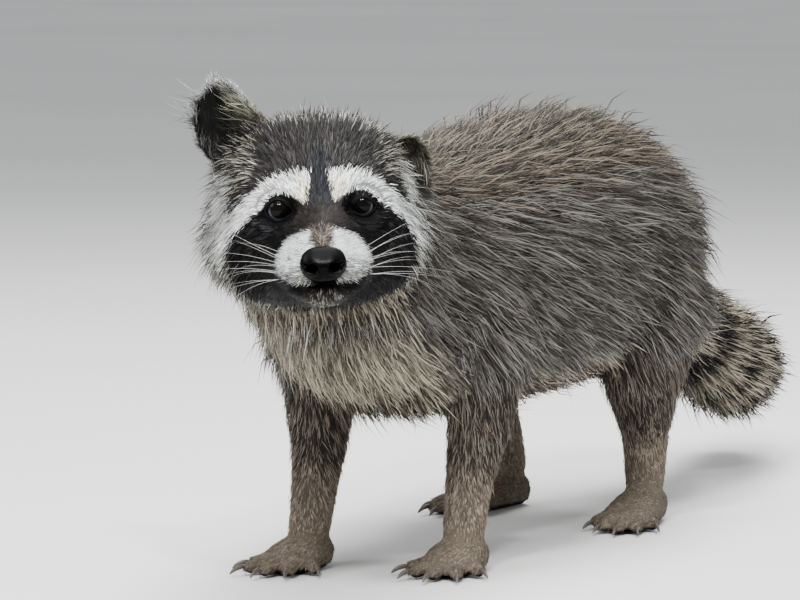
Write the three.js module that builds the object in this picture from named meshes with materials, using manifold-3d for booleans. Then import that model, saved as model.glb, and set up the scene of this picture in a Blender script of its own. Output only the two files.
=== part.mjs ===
// An adult raccoon standing on four feet, life size, in millimetres, +Z up.
// It looks along -Y, its own left side is +X, and its body is turned away behind the head.
// The solids reach to the tips of the coat. The origin is on the floor, under the middle of the animal.
import * as THREE from "three";
import { mergeVertices } from "three/addons/utils/BufferGeometryUtils.js";
import Module from "manifold-3d";

const wasm = await Module();
wasm.setup();

// Driving dimensions
const EYE_HEIGHT = 220;
const BODY_TURN = 26; // degrees that the body is turned away behind the head
const HEAD_TURN = 27; // degrees that the head looks aside from the body's own line
const HEAD_PITCH = 2; // degrees, nose down
const HEAD_ROLL = -3.3; // degrees, crown towards the animal's right
const EYE_SPACING = 44.8;
const EYE_RADIUS = 8.6;
const GAP = 0.35; // clearance between neighbouring solids
const LEFT = 1;
const RIGHT = -1;

const coat = {
  grizzled: new THREE.MeshStandardMaterial({ color: 0x6f675c, roughness: 0.9 }),
  mask: new THREE.MeshStandardMaterial({ color: 0x8c867b, roughness: 0.9 }),
  pale: new THREE.MeshStandardMaterial({ color: 0xb5ad9b, roughness: 0.9 }),
  ringed: new THREE.MeshStandardMaterial({ color: 0x4b443c, roughness: 0.9 }),
};
const bare = {
  eye: new THREE.MeshStandardMaterial({ color: 0x120d0a, roughness: 0.08 }),
  nose: new THREE.MeshStandardMaterial({ color: 0x1c1b1c, roughness: 0.35 }),
  claw: new THREE.MeshStandardMaterial({ color: 0x3a322b, roughness: 0.4 }),
};

// ---- Shaping helpers ----

// Smooth values between rows of numbers, spaced by the distance between the points in their first 3 columns.
function rowCurve(rows) {
  const at = [0];
  for (let i = 1; i < rows.length; i++)
    at.push(at[i - 1] + Math.hypot(...[0, 1, 2].map((k) => rows[i][k] - rows[i - 1][k])));
  const curves = rows[0].map((_, k) => {
    const points = rows.map((r, i) => new THREE.Vector3(at[i], r[k], 0));
    return new THREE.CatmullRomCurve3(points, false, "centripetal");
  });
  const samples = 240;
  const table = curves.map((c) => c.getPoints(samples));
  const length = at[at.length - 1];
  const value = (k, s) => {
    const points = table[k];
    let i = 1;
    while (i < points.length - 1 && points[i].x < s) i++;
    const [a, b] = [points[i - 1], points[i]];
    const t = Math.min(1, Math.max(0, (s - a.x) / (b.x - a.x || 1)));
    return a.y + (b.y - a.y) * t;
  };
  return { length, read: (s) => rows[0].map((_, k) => value(k, s)) };
}

const power = (v, e) => Math.sign(v) * Math.abs(v) ** e;

// A closed body swept along rows of [x, y, z, half width, height above, height below], which may go on with
// the depth of a cheek ruff and the section's squareness, 2 for an oval. The sphere that it starts from keeps
// its rings, and each ring becomes one section.
// blunt rounds off the two ends over these lengths, and ends gathers more rings there.
function loft({ rows, side = [1, 0, 0], around, along, blunt, square = 2, ends, grow = 0 }) {
  const curve = rowCurve(rows);
  const { length } = curve;
  const geometry = new THREE.SphereGeometry(1, around, along);
  const position = geometry.getAttribute("position");
  const sideways = new THREE.Vector3(...side);
  const place = (s) => new THREE.Vector3(...curve.read(Math.min(length, Math.max(0, s))).slice(0, 3));
  for (let i = 0; i < position.count; i++) {
    const p = new THREE.Vector3().fromBufferAttribute(position, i);
    const v = Math.acos(THREE.MathUtils.clamp(p.y, -1, 1)) / Math.PI;
    const ring = Math.hypot(p.x, p.z) || 1;
    const s = length * (v - (ends * Math.sin(2 * Math.PI * v)) / (2 * Math.PI));
    const tangent = place(s + 1).sub(place(s - 1)).normalize();
    const across = sideways.clone().addScaledVector(tangent, -sideways.dot(tangent)).normalize();
    const up = new THREE.Vector3().crossVectors(across, tangent);
    const [x, y, z, half, above, below, ruff = 0, squareHere = square] = curve.read(s);
    const fromStart = Math.min(1, s / blunt[0]);
    const fromEnd = Math.min(1, (length - s) / blunt[1]);
    const round = Math.sqrt(1 - (1 - fromStart) ** 2) * Math.sqrt(1 - (1 - fromEnd) ** 2);
    const poleward = Math.hypot(p.x, p.z) < 1e-6 ? 0 : 1;
    const [c, w] = [(p.x / ring) * poleward, (-p.z / ring) * poleward];
    const height = (w > 0 ? above : below) * power(w, 2 / squareHere);
    const bulge = ruff * Math.exp(-(((height + 8) / 17) ** 2)) * Math.abs(c) ** 0.6;
    const wide = (half + bulge) * power(c, 2 / squareHere);
    const point = new THREE.Vector3(x, y, z)
      .addScaledVector(across, wide * round + grow * c)
      .addScaledVector(up, height * round + grow * w)
      .addScaledVector(tangent, grow * (fromStart - fromEnd));
    position.setXYZ(i, point.x, point.y, point.z);
  }
  return geometry;
}

function ellipsoid(centre, radii, around, along, turn = [0, 0, 0]) {
  return new THREE.SphereGeometry(1, around, along)
    .scale(...radii)
    .applyMatrix4(new THREE.Matrix4().makeRotationFromEuler(new THREE.Euler(...turn)))
    .translate(...centre);
}

function solid(geometry) {
  geometry.deleteAttribute("normal");
  geometry.deleteAttribute("uv");
  const merged = mergeVertices(geometry, 1e-3);
  const index = Array.from(merged.index.array);
  const triangles = [];
  for (let i = 0; i < index.length; i += 3) {
    const [a, b, c] = index.slice(i, i + 3);
    if (a !== b && b !== c && a !== c) triangles.push(a, b, c);
  }
  return new wasm.Manifold(
    new wasm.Mesh({
      numProp: 3,
      vertProperties: Float32Array.from(merged.getAttribute("position").array),
      triVerts: Uint32Array.from(triangles),
    }),
  );
}

const joined = (solids) => solids.reduce((a, b) => a.add(b));
const largest = (made) => made.decompose().sort((a, b) => b.volume() - a.volume())[0];

function mesh(name, made, material) {
  const { numProp, vertProperties, triVerts } = largest(made).getMesh();
  const points = new Float32Array((vertProperties.length / numProp) * 3);
  for (let i = 0; i < points.length / 3; i++)
    points.set(vertProperties.subarray(i * numProp, i * numProp + 3), i * 3);
  const geometry = new THREE.BufferGeometry()
    .setAttribute("position", new THREE.BufferAttribute(points, 3))
    .setIndex(new THREE.BufferAttribute(triVerts, 1));
  geometry.computeVertexNormals();
  const made3 = new THREE.Mesh(geometry, material);
  made3.name = name;
  return made3;
}

const mirrored = (rows, sign) => rows.map(([x, ...rest]) => [x * sign, ...rest]);
const sideName = (sign) => (sign === LEFT ? "left" : "right");

// ---- Head, in its own frame: origin midway between the eyes, -Y forward ----

const headRows = [
  // x, y, z, half width, above, below, cheek ruff, squareness
  [0, -55, -28, 17, 12, 14, 0, 2.2],
  [0, -48, -30, 21.5, 16, 16, 0, 2.1],
  [0, -38, -31, 24.5, 22, 18, 0, 2],
  [0, -27, -30, 26, 27, 21, 0, 2],
  [0, -15, -29, 30, 32, 24, 0, 2.1],
  [0, -3, -28, 38, 41, 27, 0.5, 2.3],
  [0, 9, -27, 46, 50, 30, 3, 2.5],
  [-1, 24, -25, 51, 61, 33, 5.5, 2.7],
  [-2.5, 42, -22, 54, 70, 38, 6, 2.8],
  [-4.5, 62, -17, 57, 67, 44, 4, 2.65],
  [-4.5, 84, -12, 56, 56, 48, 2, 2.5],
  [-4, 108, -8, 47, 42, 42, 0, 2.2],
];
const headLoft = (grow = 0) =>
  loft({ rows: headRows, around: 26, along: 20, blunt: [9, 22], ends: 0.45, grow });

const nosePad = { at: [0, -56.5, -24.5], half: [12.4, 8.5, 9.8] };
const eyeAt = (sign) => [(sign * EYE_SPACING) / 2, 3.2, 0];
// The hollow of short fur round each eye, in front of the eyeball.
const eyeHollow = (sign) => ellipsoid([sign * 23, -14.5, -0.5], [12, 12.5, 9.5], 12, 8);

function nose() {
  const [w, d, h] = nosePad.half;
  const pad = solid(ellipsoid(nosePad.at, [w, d, h], 14, 10));
  const nostril = (sign) =>
    solid(ellipsoid([sign * 6.4, -64.5, -25.8], [3.1, 3.4, 2.3], 8, 6, [0, sign * 0.5, 0]));
  return pad.subtract(nostril(LEFT)).subtract(nostril(RIGHT));
}

// An ear is a flattened sphere bent into a scoop: it stands on its base point, rises along the direction
// "rise", and opens towards the direction "open". The right ear is pricked, and the left one is laid back.
const earSize = { length: 56, scoop: 11, thick: 3 };
const earStand = {
  [RIGHT]: { base: [-49.5, 43, 28.5], rise: [-0.19, 0.1, 0.98], open: [-0.3, -0.95, 0] },
  [LEFT]: { base: [41, 54, 6], rise: [0.55, 0.8, -0.2], open: [0.75, -0.45, -0.3] },
};
function ear(sign, grow = 0) {
  const { base, rise, open } = earStand[sign];
  const { length, scoop, thick } = earSize;
  const up = new THREE.Vector3(...rise).normalize();
  const front = new THREE.Vector3(...open);
  front.addScaledVector(up, -front.dot(up)).normalize();
  const across = new THREE.Vector3().crossVectors(up, front);
  const geometry = new THREE.SphereGeometry(1, 12, 10);
  const position = geometry.getAttribute("position");
  for (let i = 0; i < position.count; i++) {
    const p = new THREE.Vector3().fromBufferAttribute(position, i);
    const share = (p.y + 1) / 2; // 0 at the root, 1 at the tip
    // The outer edge runs up straight and cuts across to the tip, and the inner one spreads into the crown.
    const outer = 17.8 + 7 * Math.max(0, 0.4 - share) - 58 * Math.max(0, share - 0.78);
    const inner = 18.8 + 22 * (1 - share) ** 1.6;
    const wide = (p.x * sign > 0 ? outer : inner) + grow;
    const bend = scoop * (1 - p.x * p.x) * (1 - 0.55 * share);
    const point = new THREE.Vector3(...base)
      .addScaledVector(up, share * (length + 2 * grow) - 12 - grow)
      .addScaledVector(across, p.x * wide)
      .addScaledVector(front, p.z * (thick + grow) - bend);
    position.setXYZ(i, point.x, point.y, point.z);
  }
  return geometry;
}

const head = new THREE.Group();
{
  const eyeball = (sign, grow = 0) =>
    solid(ellipsoid(eyeAt(sign), Array(3).fill(EYE_RADIUS + grow), 12, 9));
  const [w, d, h] = nosePad.half;
  let skull = solid(headLoft()).subtract(solid(ellipsoid(nosePad.at, [w + GAP, d + GAP, h + GAP], 14, 10)));
  for (const sign of [LEFT, RIGHT])
    skull = skull.subtract(solid(eyeHollow(sign))).subtract(eyeball(sign, GAP));
  head.add(mesh("head", skull, coat.mask));
  head.add(mesh("nose", nose(), bare.nose));
  for (const sign of [LEFT, RIGHT]) {
    const name = sideName(sign);
    head.add(mesh(`eye_${name}`, eyeball(sign), bare.eye));
    head.add(mesh(`ear_${name}`, solid(ear(sign)).subtract(solid(headLoft(GAP))), coat.pale));
  }
}

// ---- Body, in its own frame: origin on the floor under the shoulders, -Y forward ----

const HEAD_FROM_SHOULDERS = [38, -170];
head.position.set(...HEAD_FROM_SHOULDERS, EYE_HEIGHT);
head.rotation.set(
  THREE.MathUtils.degToRad(HEAD_PITCH),
  THREE.MathUtils.degToRad(HEAD_ROLL),
  THREE.MathUtils.degToRad(HEAD_TURN),
  "ZXY",
);
head.updateMatrix();

const trunkRows = [
  // x, y, z, half width, above, below, from inside the head to the tail head
  [9, -124, 207, 54, 44, 48],
  [2, -92, 199, 60, 53, 62],
  [-1, -56, 186, 62, 60, 74],
  [0, -14, 174, 67, 68, 81],
  [0, 40, 168, 73, 76, 82],
  [0, 110, 165, 80, 86, 80],
  [0, 180, 164, 85, 93, 77],
  [0, 245, 163, 84, 92, 73],
  [0, 300, 156, 70, 77, 64],
  [0, 338, 143, 46, 50, 44],
  [0, 354, 137, 32, 36, 33],
];
const NECK_END = -38; // the neck gives way to the trunk here
const trunkLoft = (grow = 0) =>
  loft({ rows: trunkRows, around: 22, along: 19, blunt: [20, 24], square: 2.15, ends: 0.35, grow });

const foreRows = [
  // x, y, z, half width, behind, in front, from the shoulder to the wrist
  [45, -6, 178, 24, 36, 34],
  [51, 0, 140, 26, 35, 33],
  [51, 7, 108, 22.5, 27, 25],
  [47, 6, 76, 18, 20, 19],
  [44, -1, 48, 14, 14.5, 14.5],
  [43, -6, 22, 12.8, 13.5, 13.5],
  [43, -6, 9, 12, 12, 13],
];
const hindRows = [
  // x, y, z, half width, behind, in front, from the hip to the ankle
  [48, 246, 180, 30, 52, 50],
  [58, 238, 146, 35, 50, 53],
  [62, 229, 112, 31, 38, 43],
  [60, 236, 82, 22.5, 26, 28],
  [56, 250, 54, 15, 16.5, 16.5],
  [54, 258, 24, 12.8, 14, 14],
  [54, 258, 10, 12, 12.5, 13],
];
// How far each leg is set forward or back, and out, at the floor.
const stride = {
  fore: { [LEFT]: 8, [RIGHT]: -20 },
  hind: { [LEFT]: -14, [RIGHT]: 16 },
};

// The soles reach a little below the floor, and the floor cuts them flat.
const foreSole = [
  // x, y, z, half width, above, below, from the toes' roots to the heel of the hand
  [0, -37, 5, 13, 5, 6.5],
  [0, -27, 6.5, 16.5, 7.5, 8],
  [0, -13, 8.5, 17, 10.5, 10],
  [0, 2, 10, 15, 12, 11.5],
  [0, 13, 10.5, 11, 8, 11],
];
const hindSole = [
  // x, y, z, half width, above, below, from the toes' roots to the heel
  [0, -64, 5, 13.5, 5, 6.5],
  [0, -50, 6.5, 17.5, 7.5, 8],
  [0, -26, 8.5, 16.5, 11, 10],
  [0, 0, 10, 14.5, 13.5, 11.5],
  [0, 15, 10, 11, 9, 11],
];
const toes = {
  fore: { from: -31, spread: 44, reach: [17, 24, 26, 24, 16], slim: 4.2 },
  hind: { from: -57, spread: 34, reach: [14, 20, 22, 19, 13], slim: 4.6 },
};
const CLAW_LENGTH = { fore: 9, hind: 8 };

// The five toes of one foot: each has its root, its tip and the way it points, in the foot's frame.
function toeLines(kind, sign) {
  const { from, spread, reach } = toes[kind];
  return reach.map((length, i) => {
    const place = i - 2;
    const angle = THREE.MathUtils.degToRad((place / 2) * spread) * sign;
    const way = new THREE.Vector3(Math.sin(angle), -Math.cos(angle), 0);
    const root = new THREE.Vector3(sign * place * 6.2, from + place * place * 2.6, 0);
    return { root, way, length, tip: root.clone().addScaledVector(way, length) };
  });
}

function toe({ root, way, length }, slim, grow = 0) {
  const at = (share, z) => root.clone().addScaledVector(way, length * share).setZ(z).toArray();
  const rows = [
    [...at(1, slim * 0.85), slim * 0.95, slim * 0.8, slim],
    [...at(0.55, slim * 1.25), slim * 1.02, slim * 1.02, slim],
    [...at(0, slim * 1.5), slim * 1.15, slim * 1.15, slim * 1.3],
    [...at(-0.45, slim * 1.7), slim * 1.1, slim * 1.1, slim * 1.3],
  ];
  const side = [-way.y, way.x, 0];
  return loft({ rows, side, around: 7, along: 4, blunt: [slim, slim], ends: 0.5, grow });
}

function claw({ tip, way }, kind, slim, grow = 0) {
  const length = CLAW_LENGTH[kind];
  const at = (out, z) => tip.clone().addScaledVector(way, out).setZ(z).toArray();
  const rows = [
    [...at(length, 1.1), 0.45, 0.5, 0.5],
    [...at(length * 0.62, 3.9), 1.05, 1.3, 1.3],
    [...at(length * 0.2, 5.6), 1.55, 1.9, 1.9],
    [...at(-1.6, slim * 1.25), 1.7, 2, 2],
  ];
  const side = [-way.y, way.x, 0];
  return loft({ rows, side, around: 6, along: 4, blunt: [0.8, 1.5], ends: 0.2, grow });
}

const floorCut = () => solid(new THREE.BoxGeometry(400, 400, 40).translate(0, 0, -20));

// Where each foot stands: the bottom of its leg, moved by the stride.
function footPlace(kind, sign) {
  const rows = kind === "fore" ? foreRows : hindRows;
  const [x, y] = rows[rows.length - 1];
  return new THREE.Vector3(sign * x, y + stride[kind][sign], 0);
}

// The leg's rows, with the stride growing from nothing at its top to all of it at the floor.
function legRows(kind, sign) {
  const rows = mirrored(kind === "fore" ? foreRows : hindRows, sign);
  const [top, bottom] = [rows[0][2], rows[rows.length - 1][2]];
  return rows.map(([x, y, z, ...rest]) => {
    const share = Math.min(1, (top - z) / (top - bottom - 14)) ** 1.3;
    return [x, y + stride[kind][sign] * share, z, ...rest];
  });
}

const legLoft = (kind, sign, grow = 0) =>
  loft({ rows: legRows(kind, sign), around: 14, along: 10, blunt: [22, 5], square: 2.1, ends: 0.3, grow });

const PAW_TURN = { fore: 4, hind: 10 }; // degrees that each foot points outwards

function paw(kind, sign) {
  const sole = kind === "fore" ? foreSole : hindSole;
  const lines = toeLines(kind, sign);
  const { slim } = toes[kind];
  const palm = solid(loft({ rows: sole, around: 12, along: 7, blunt: [7, 8], square: 2.3, ends: 0.4 }));
  const whole = joined([palm, ...lines.map((line) => solid(toe(line, slim)))]).subtract(floorCut());
  const trimmed = lines.reduce((made, line) => made.subtract(solid(claw(line, kind, slim, GAP))), whole);
  return { flesh: trimmed, claws: lines.map((line) => solid(claw(line, kind, slim))) };
}

const body = new THREE.Group();
{
  const trunk = solid(trunkLoft());
  const headInBody = headLoft(GAP).applyMatrix4(head.matrix);
  const earsInBody = [LEFT, RIGHT].map((sign) => solid(ear(sign, GAP).applyMatrix4(head.matrix)));
  const split = (y, thick) => new THREE.BoxGeometry(600, thick, 600).translate(0, y, 200);
  const front = solid(split(NECK_END - 300 - GAP / 2, 600));
  const rear = solid(split(NECK_END + 300 + GAP / 2, 600));
  const throat = trunk.intersect(front).subtract(solid(headInBody));
  body.add(mesh("neck", earsInBody.reduce((made, e) => made.subtract(e), throat), coat.grizzled));
  body.add(mesh("trunk", trunk.intersect(rear), coat.grizzled));

  const trunkGrown = solid(trunkLoft(GAP));
  for (const kind of ["fore", "hind"])
    for (const sign of [LEFT, RIGHT]) {
      const place = footPlace(kind, sign);
      const standing = new THREE.Matrix4()
        .makeRotationZ(THREE.MathUtils.degToRad(PAW_TURN[kind] * sign))
        .setPosition(place);
      const { flesh, claws } = paw(kind, sign);
      const stood = (made) => made.transform(standing.toArray());
      const leg = solid(legLoft(kind, sign)).subtract(trunkGrown);
      const foot = stood(flesh).subtract(solid(legLoft(kind, sign, GAP)));
      body.add(mesh(`${kind}leg_${sideName(sign)}`, leg, coat.grizzled));
      body.add(mesh(`${kind}paw_${sideName(sign)}`, foot, coat.pale));
      claws.forEach((made, i) => {
        const name = `claw_${kind}_${sideName(sign)}_${i + 1}`;
        body.add(mesh(name, stood(made).subtract(floorCut()), bare.claw));
      });
    }
}

const tailRows = [
  // x, y, z, then one radius for half width, above and below, from the rump to the tip
  [0, 336, 141, 24],
  [3, 372, 125, 30],
  [8, 416, 104, 35],
  [9, 464, 85, 37],
  [2, 512, 72, 36.5],
  [-12, 556, 66, 33],
  [-31, 596, 65, 25],
  [-43, 616, 66, 17],
].map(([x, y, z, r]) => [x, y, z, r, r, r]);
const tail = loft({ rows: tailRows, around: 16, along: 14, blunt: [16, 26], ends: 0.4 });
body.add(mesh("tail", solid(tail).subtract(solid(trunkLoft(GAP))), coat.ringed));

// ---- The whole animal, turned so that the head looks along -Y, over its origin ----

body.add(head);
body.rotation.z = THREE.MathUtils.degToRad(-BODY_TURN);
const raccoon = new THREE.Group();
raccoon.add(body);
raccoon.updateMatrixWorld(true);
const size = new THREE.Box3().setFromObject(raccoon, true);
raccoon.position.set(-(size.min.x + size.max.x) / 2, -(size.min.y + size.max.y) / 2, -size.min.z);

export default raccoon;
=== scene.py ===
"""A standing raccoon: its skin with lids, eyes, nose, claws, whiskers and coat.

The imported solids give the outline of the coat. The skin lies inside them by the coat's depth,
and tufts of solid mesh stand on the skin along the lie of the coat.
Head places are in millimetres from the point midway between the eyes: x to the animal's left,
y to the back of the head and z to the crown.
"""

import math

import bmesh
import bpy
import numpy as np
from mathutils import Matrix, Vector, kdtree
from mathutils.bvhtree import BVHTree


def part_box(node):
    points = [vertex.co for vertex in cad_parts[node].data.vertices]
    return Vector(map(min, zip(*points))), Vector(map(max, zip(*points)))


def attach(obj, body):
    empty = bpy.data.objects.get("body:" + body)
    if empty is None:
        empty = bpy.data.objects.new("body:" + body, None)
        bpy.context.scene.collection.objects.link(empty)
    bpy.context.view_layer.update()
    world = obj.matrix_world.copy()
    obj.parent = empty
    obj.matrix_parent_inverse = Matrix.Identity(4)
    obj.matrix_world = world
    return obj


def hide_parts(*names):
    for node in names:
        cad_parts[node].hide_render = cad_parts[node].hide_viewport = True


bl_info = {
    "name": "Standing raccoon",
    "version": (1, 0, 0),
    "blender": (4, 5, 0),
    "location": "3D View > Sidebar > Raccoon",
    "description": "Skin, eyes, nose, claws, whiskers and coat around the solids of a raccoon",
    "category": "Object",
}

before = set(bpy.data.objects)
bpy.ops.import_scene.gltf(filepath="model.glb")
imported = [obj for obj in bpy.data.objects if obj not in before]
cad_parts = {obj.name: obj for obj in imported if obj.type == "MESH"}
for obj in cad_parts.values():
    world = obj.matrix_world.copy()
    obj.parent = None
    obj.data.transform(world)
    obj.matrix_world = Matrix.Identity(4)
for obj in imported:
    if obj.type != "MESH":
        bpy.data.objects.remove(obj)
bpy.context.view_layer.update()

MM = 0.001
FULL_TURN = 2 * math.pi
BODY = "root"
FLESH = sorted(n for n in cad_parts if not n.startswith(("claw", "eye", "nose")))
CLAWS = sorted(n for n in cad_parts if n.startswith("claw"))
REGIONS = ("head", "ear", "neck", "trunk", "foreleg", "hindleg", "paw", "tail")
# How steeply the line from the eyes to the nose falls when the head is level.
NOSE_DROP = math.atan2(24.5, 56.5)
# Shares of a head place's y and z that make its height on the face, which leans back a little.
FACE_UP = (0.1219, 0.9925)
# Points are put in order along this direction. It is askew, so that no two of them tie.
ORDER_WAY = Vector((0.83, 0.37, 0.61))
# The map that lays each tuft out on a small patch of its own, and the side of that patch.
BAKE_MAP = "OFBake"
TUFT_PATCH = 0.003


# ---------------------------------------------------------------- places on the animal


class Axes:
    """Axes set in the animal, in millimetres, to say where a point of the model lies."""

    def __init__(self, origin, across, back, up):
        self.origin = np.array(origin, float)
        self.turn = np.array([across, back, up], float)

    def local(self, points):
        """Places of the model as places on the axes."""
        return (points - self.origin) @ self.turn.T / MM

    def world(self, local):
        """Places on the axes as places of the model."""
        return np.asarray(local, float) @ self.turn * MM + self.origin

    def heading(self, local):
        """Directions on the axes as directions of the model."""
        return np.asarray(local, float) @ self.turn


def centre_of(node):
    """The middle of a node's box."""
    low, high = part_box(node)
    return (low + high) / 2


def node_points(node):
    """The corners of a node's solid."""
    return np.array([vert.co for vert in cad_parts[node].data.vertices], float)


def axes_of_head():
    """Axes from midway between the eyes, with the nose ahead and below."""
    left, right, nose = (centre_of(n) for n in ("eye_left", "eye_right", "nose"))
    origin = (left + right) / 2
    across = (left - right).normalized()
    ahead = nose - origin
    ahead = (ahead - across * ahead.dot(across)).normalized()
    beside = across.cross(ahead)
    back = beside * math.sin(NOSE_DROP) - ahead * math.cos(NOSE_DROP)
    up = -ahead * math.sin(NOSE_DROP) - beside * math.cos(NOSE_DROP)
    return Axes(origin, across, back, up)


def axes_of_body():
    """Level axes from the middle of the trunk at the floor, with y along the trunk to the tail."""
    points = node_points("trunk")
    middle = points.mean(0)
    flat = (points - middle)[:, :2]
    back = np.linalg.eigh(flat.T @ flat)[1][:, -1]
    back *= np.sign(back[1])
    origin = (middle[0], middle[1], 0.0)
    return Axes(origin, (back[1], -back[0], 0), (back[0], back[1], 0), (0, 0, 1))


HEAD = axes_of_head()
TRUNK = axes_of_body()
# An eye's radius and how far it lies from the midline, in millimetres.
EYE_RADIUS = (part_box("eye_left")[1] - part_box("eye_left")[0]).z / 2 / MM
EYE_OUT = 22.4

# Each ear's foot, the way it rises and the way its hollow faces, on the head's axes.
EARS = {
    "ear_right": {"foot": (-49.5, 43, 28.5), "rise": (-0.19, 0.1, 0.98), "open": (-0.3, -0.95, 0)},
    "ear_left": {"foot": (41, 54, 6), "rise": (0.55, 0.8, -0.2), "open": (0.75, -0.45, -0.3)},
}
# The length of an ear's solid in millimetres, and how much of it lies below the ear's foot.
EAR_LENGTH = 56.0
EAR_ROOT = 12.0


def unit(vectors):
    """Vectors of length one that point the same way."""
    length = np.linalg.norm(vectors, axis=-1, keepdims=True)
    return vectors / np.maximum(length, 1e-9)


def rise(low, high, value):
    """0 below low and 1 above high, with an easy turn at both ends. Low may be the larger."""
    t = np.clip((value - low) / (high - low), 0, 1)
    return t * t * (3 - 2 * t)


def line(value, *stops):
    """A value read off straight lines between stops, each a place and the value there."""
    return np.interp(value, [s[0] for s in stops], [s[1] for s in stops])


# ---------------------------------------------------------------- meshes as arrays


def places(mesh):
    """The places of a mesh's points, one in each row."""
    flat = np.empty(len(mesh.vertices) * 3, np.float32)
    mesh.vertices.foreach_get("co", flat)
    return flat.reshape(-1, 3).astype(float)


def set_places(mesh, points):
    """Moves a mesh's points to new places."""
    mesh.vertices.foreach_set("co", points.astype(np.float32).ravel())
    mesh.update()


def triangles(mesh):
    """The corners of a mesh's triangles, one triangle in each row."""
    mesh.calc_loop_triangles()
    flat = np.empty(len(mesh.loop_triangles) * 3, np.int32)
    mesh.loop_triangles.foreach_get("vertices", flat)
    return flat.reshape(-1, 3)


def normals_of(points, faces):
    """The way each point faces, from the triangles round it."""
    a, b, c = (points[faces[:, k]] for k in range(3))
    turned = np.cross(b - a, c - a)
    total = np.empty_like(points)
    for axis in range(3):
        weight = np.tile(turned[:, axis], 3)
        total[:, axis] = np.bincount(faces.T.ravel(), weight, len(points))
    return unit(total)


class Neighbours:
    """Which points of a mesh are joined by an edge, to even out places and values."""

    def __init__(self, mesh):
        flat = np.empty(len(mesh.edges) * 2, np.int32)
        mesh.edges.foreach_get("vertices", flat)
        pairs = flat.reshape(-1, 2)
        both = np.concatenate((pairs, pairs[:, ::-1]))
        both = both[np.argsort(both[:, 0], kind="stable")]
        self.other = both[:, 1]
        self.count = np.bincount(both[:, 0], minlength=len(mesh.vertices))
        self.start = np.concatenate(([0], np.cumsum(self.count)[:-1]))

    def mean(self, values):
        """The mean of each point's neighbours."""
        return np.add.reduceat(values[self.other], self.start, axis=0) / self.count[:, None]

    def smooth(self, values, rounds):
        """Values moved halfway to their neighbours' mean, again and again."""
        for _ in range(rounds):
            values = values + 0.5 * (self.mean(values) - values)
        return values


def finished_mesh(obj):
    """A new mesh of an object with its modifiers applied."""
    graph = bpy.context.evaluated_depsgraph_get()
    return bpy.data.meshes.new_from_object(obj.evaluated_get(graph))


def show(name, mesh, material):
    """A new smooth object for a mesh, at the origin."""
    obj = bpy.data.objects.new(name, mesh)
    bpy.context.scene.collection.objects.link(obj)
    mesh.name = name
    mesh.materials.clear()
    mesh.materials.append(material)
    mesh.polygons.foreach_set("use_smooth", np.ones(len(mesh.polygons), bool))
    mesh.update()
    return obj


def in_order(bm):
    """Puts points and faces in an order set by their places alone, so that each run gives the same."""
    bm.verts.sort(key=lambda vert: vert.co.dot(ORDER_WAY))
    bm.verts.index_update()
    bm.verts.ensure_lookup_table()
    corners = []
    for face in bm.faces:
        index = [vert.index for vert in face.verts]
        first = index.index(min(index))
        corners.append(index[first:] + index[:first])
    bmesh.ops.delete(bm, geom=bm.edges[:] + bm.faces[:], context="EDGES_FACES")
    for row in sorted(corners):
        bm.faces.new([bm.verts[k] for k in row])


def mesh_from(bm, name):
    """A mesh with its faces turned outwards. The bmesh is freed."""
    bmesh.ops.recalc_face_normals(bm, faces=bm.faces)
    mesh = bpy.data.meshes.new(name)
    bm.to_mesh(mesh)
    bm.free()
    return mesh


def paint(mesh, name, colours):
    """Keeps one colour for each point of a mesh."""
    layer = mesh.color_attributes.new(name, "FLOAT_COLOR", "POINT")
    full = np.ones((len(mesh.vertices), 4), np.float32)
    full[:, :3] = colours
    layer.data.foreach_set("color", full.ravel())


# ---------------------------------------------------------------- how the coat grows

# A place on the head, the coat's length there in millimetres, and how far it stands, in degrees.
HEAD_LIE = {
    "bridge_tip": ((0, -45, -14), 3.0, 10),
    "bridge": ((0, -25, -2), 4.2, 12),
    "between_eyes": ((0, -8, 8), 6.0, 18),
    "inner_eye": ((12, -12, 0), 2.8, 12),
    "eye": ((23, -6, -2), 2.2, 10),
    "upper_lid": ((22, -4, 8), 3.2, 14),
    "outer_eye": ((36, 2, 0), 6.0, 14),
    "brow": ((22, -2, 14), 7.5, 20),
    "outer_brow": ((40, 14, 6), 11.0, 22),
    "forehead": ((0, 10, 25), 9.5, 26),
    "forehead_side": ((25, 18, 30), 10.0, 26),
    "crown": ((0, 45, 46), 15.0, 34),
    "crown_side": ((30, 45, 40), 15.0, 32),
    "nape": ((0, 90, 40), 20.0, 26),
    "temple": ((46, 38, 15), 16.0, 26),
    "ruff": ((52, 50, -10), 23.0, 25),
    "low_ruff": ((46, 50, -40), 23.0, 25),
    "cheek": ((38, 10, -28), 14.0, 18),
    "under_eye": ((26, -8, -16), 8.0, 14),
    "muzzle_top": ((10, -44, -18), 4.6, 20),
    "muzzle_side": ((20, -38, -30), 5.4, 20),
    "muzzle_front": ((10, -54, -34), 2.8, 16),
    "lip": ((8, -54, -42), 2.8, 13),
    "chin": ((0, -48, -46), 5.5, 20),
    "jaw": ((20, -20, -50), 11.0, 18),
    "throat": ((0, 20, -58), 20.0, 20),
}


def head_lie(local):
    """The coat's length and lift at places on the head, from the nearest of the named places."""
    mirrored = local.copy()
    mirrored[:, 0] = np.abs(mirrored[:, 0])
    total = np.zeros(len(local))
    length = np.zeros(len(local))
    lift = np.zeros(len(local))
    for spot, long, stand in HEAD_LIE.values():
        near = 1 / (((mirrored - spot) ** 2).sum(1) + 9.0) ** 1.6
        total += near
        length += near * long
        lift += near * stand
    return length / total, lift / total


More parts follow.
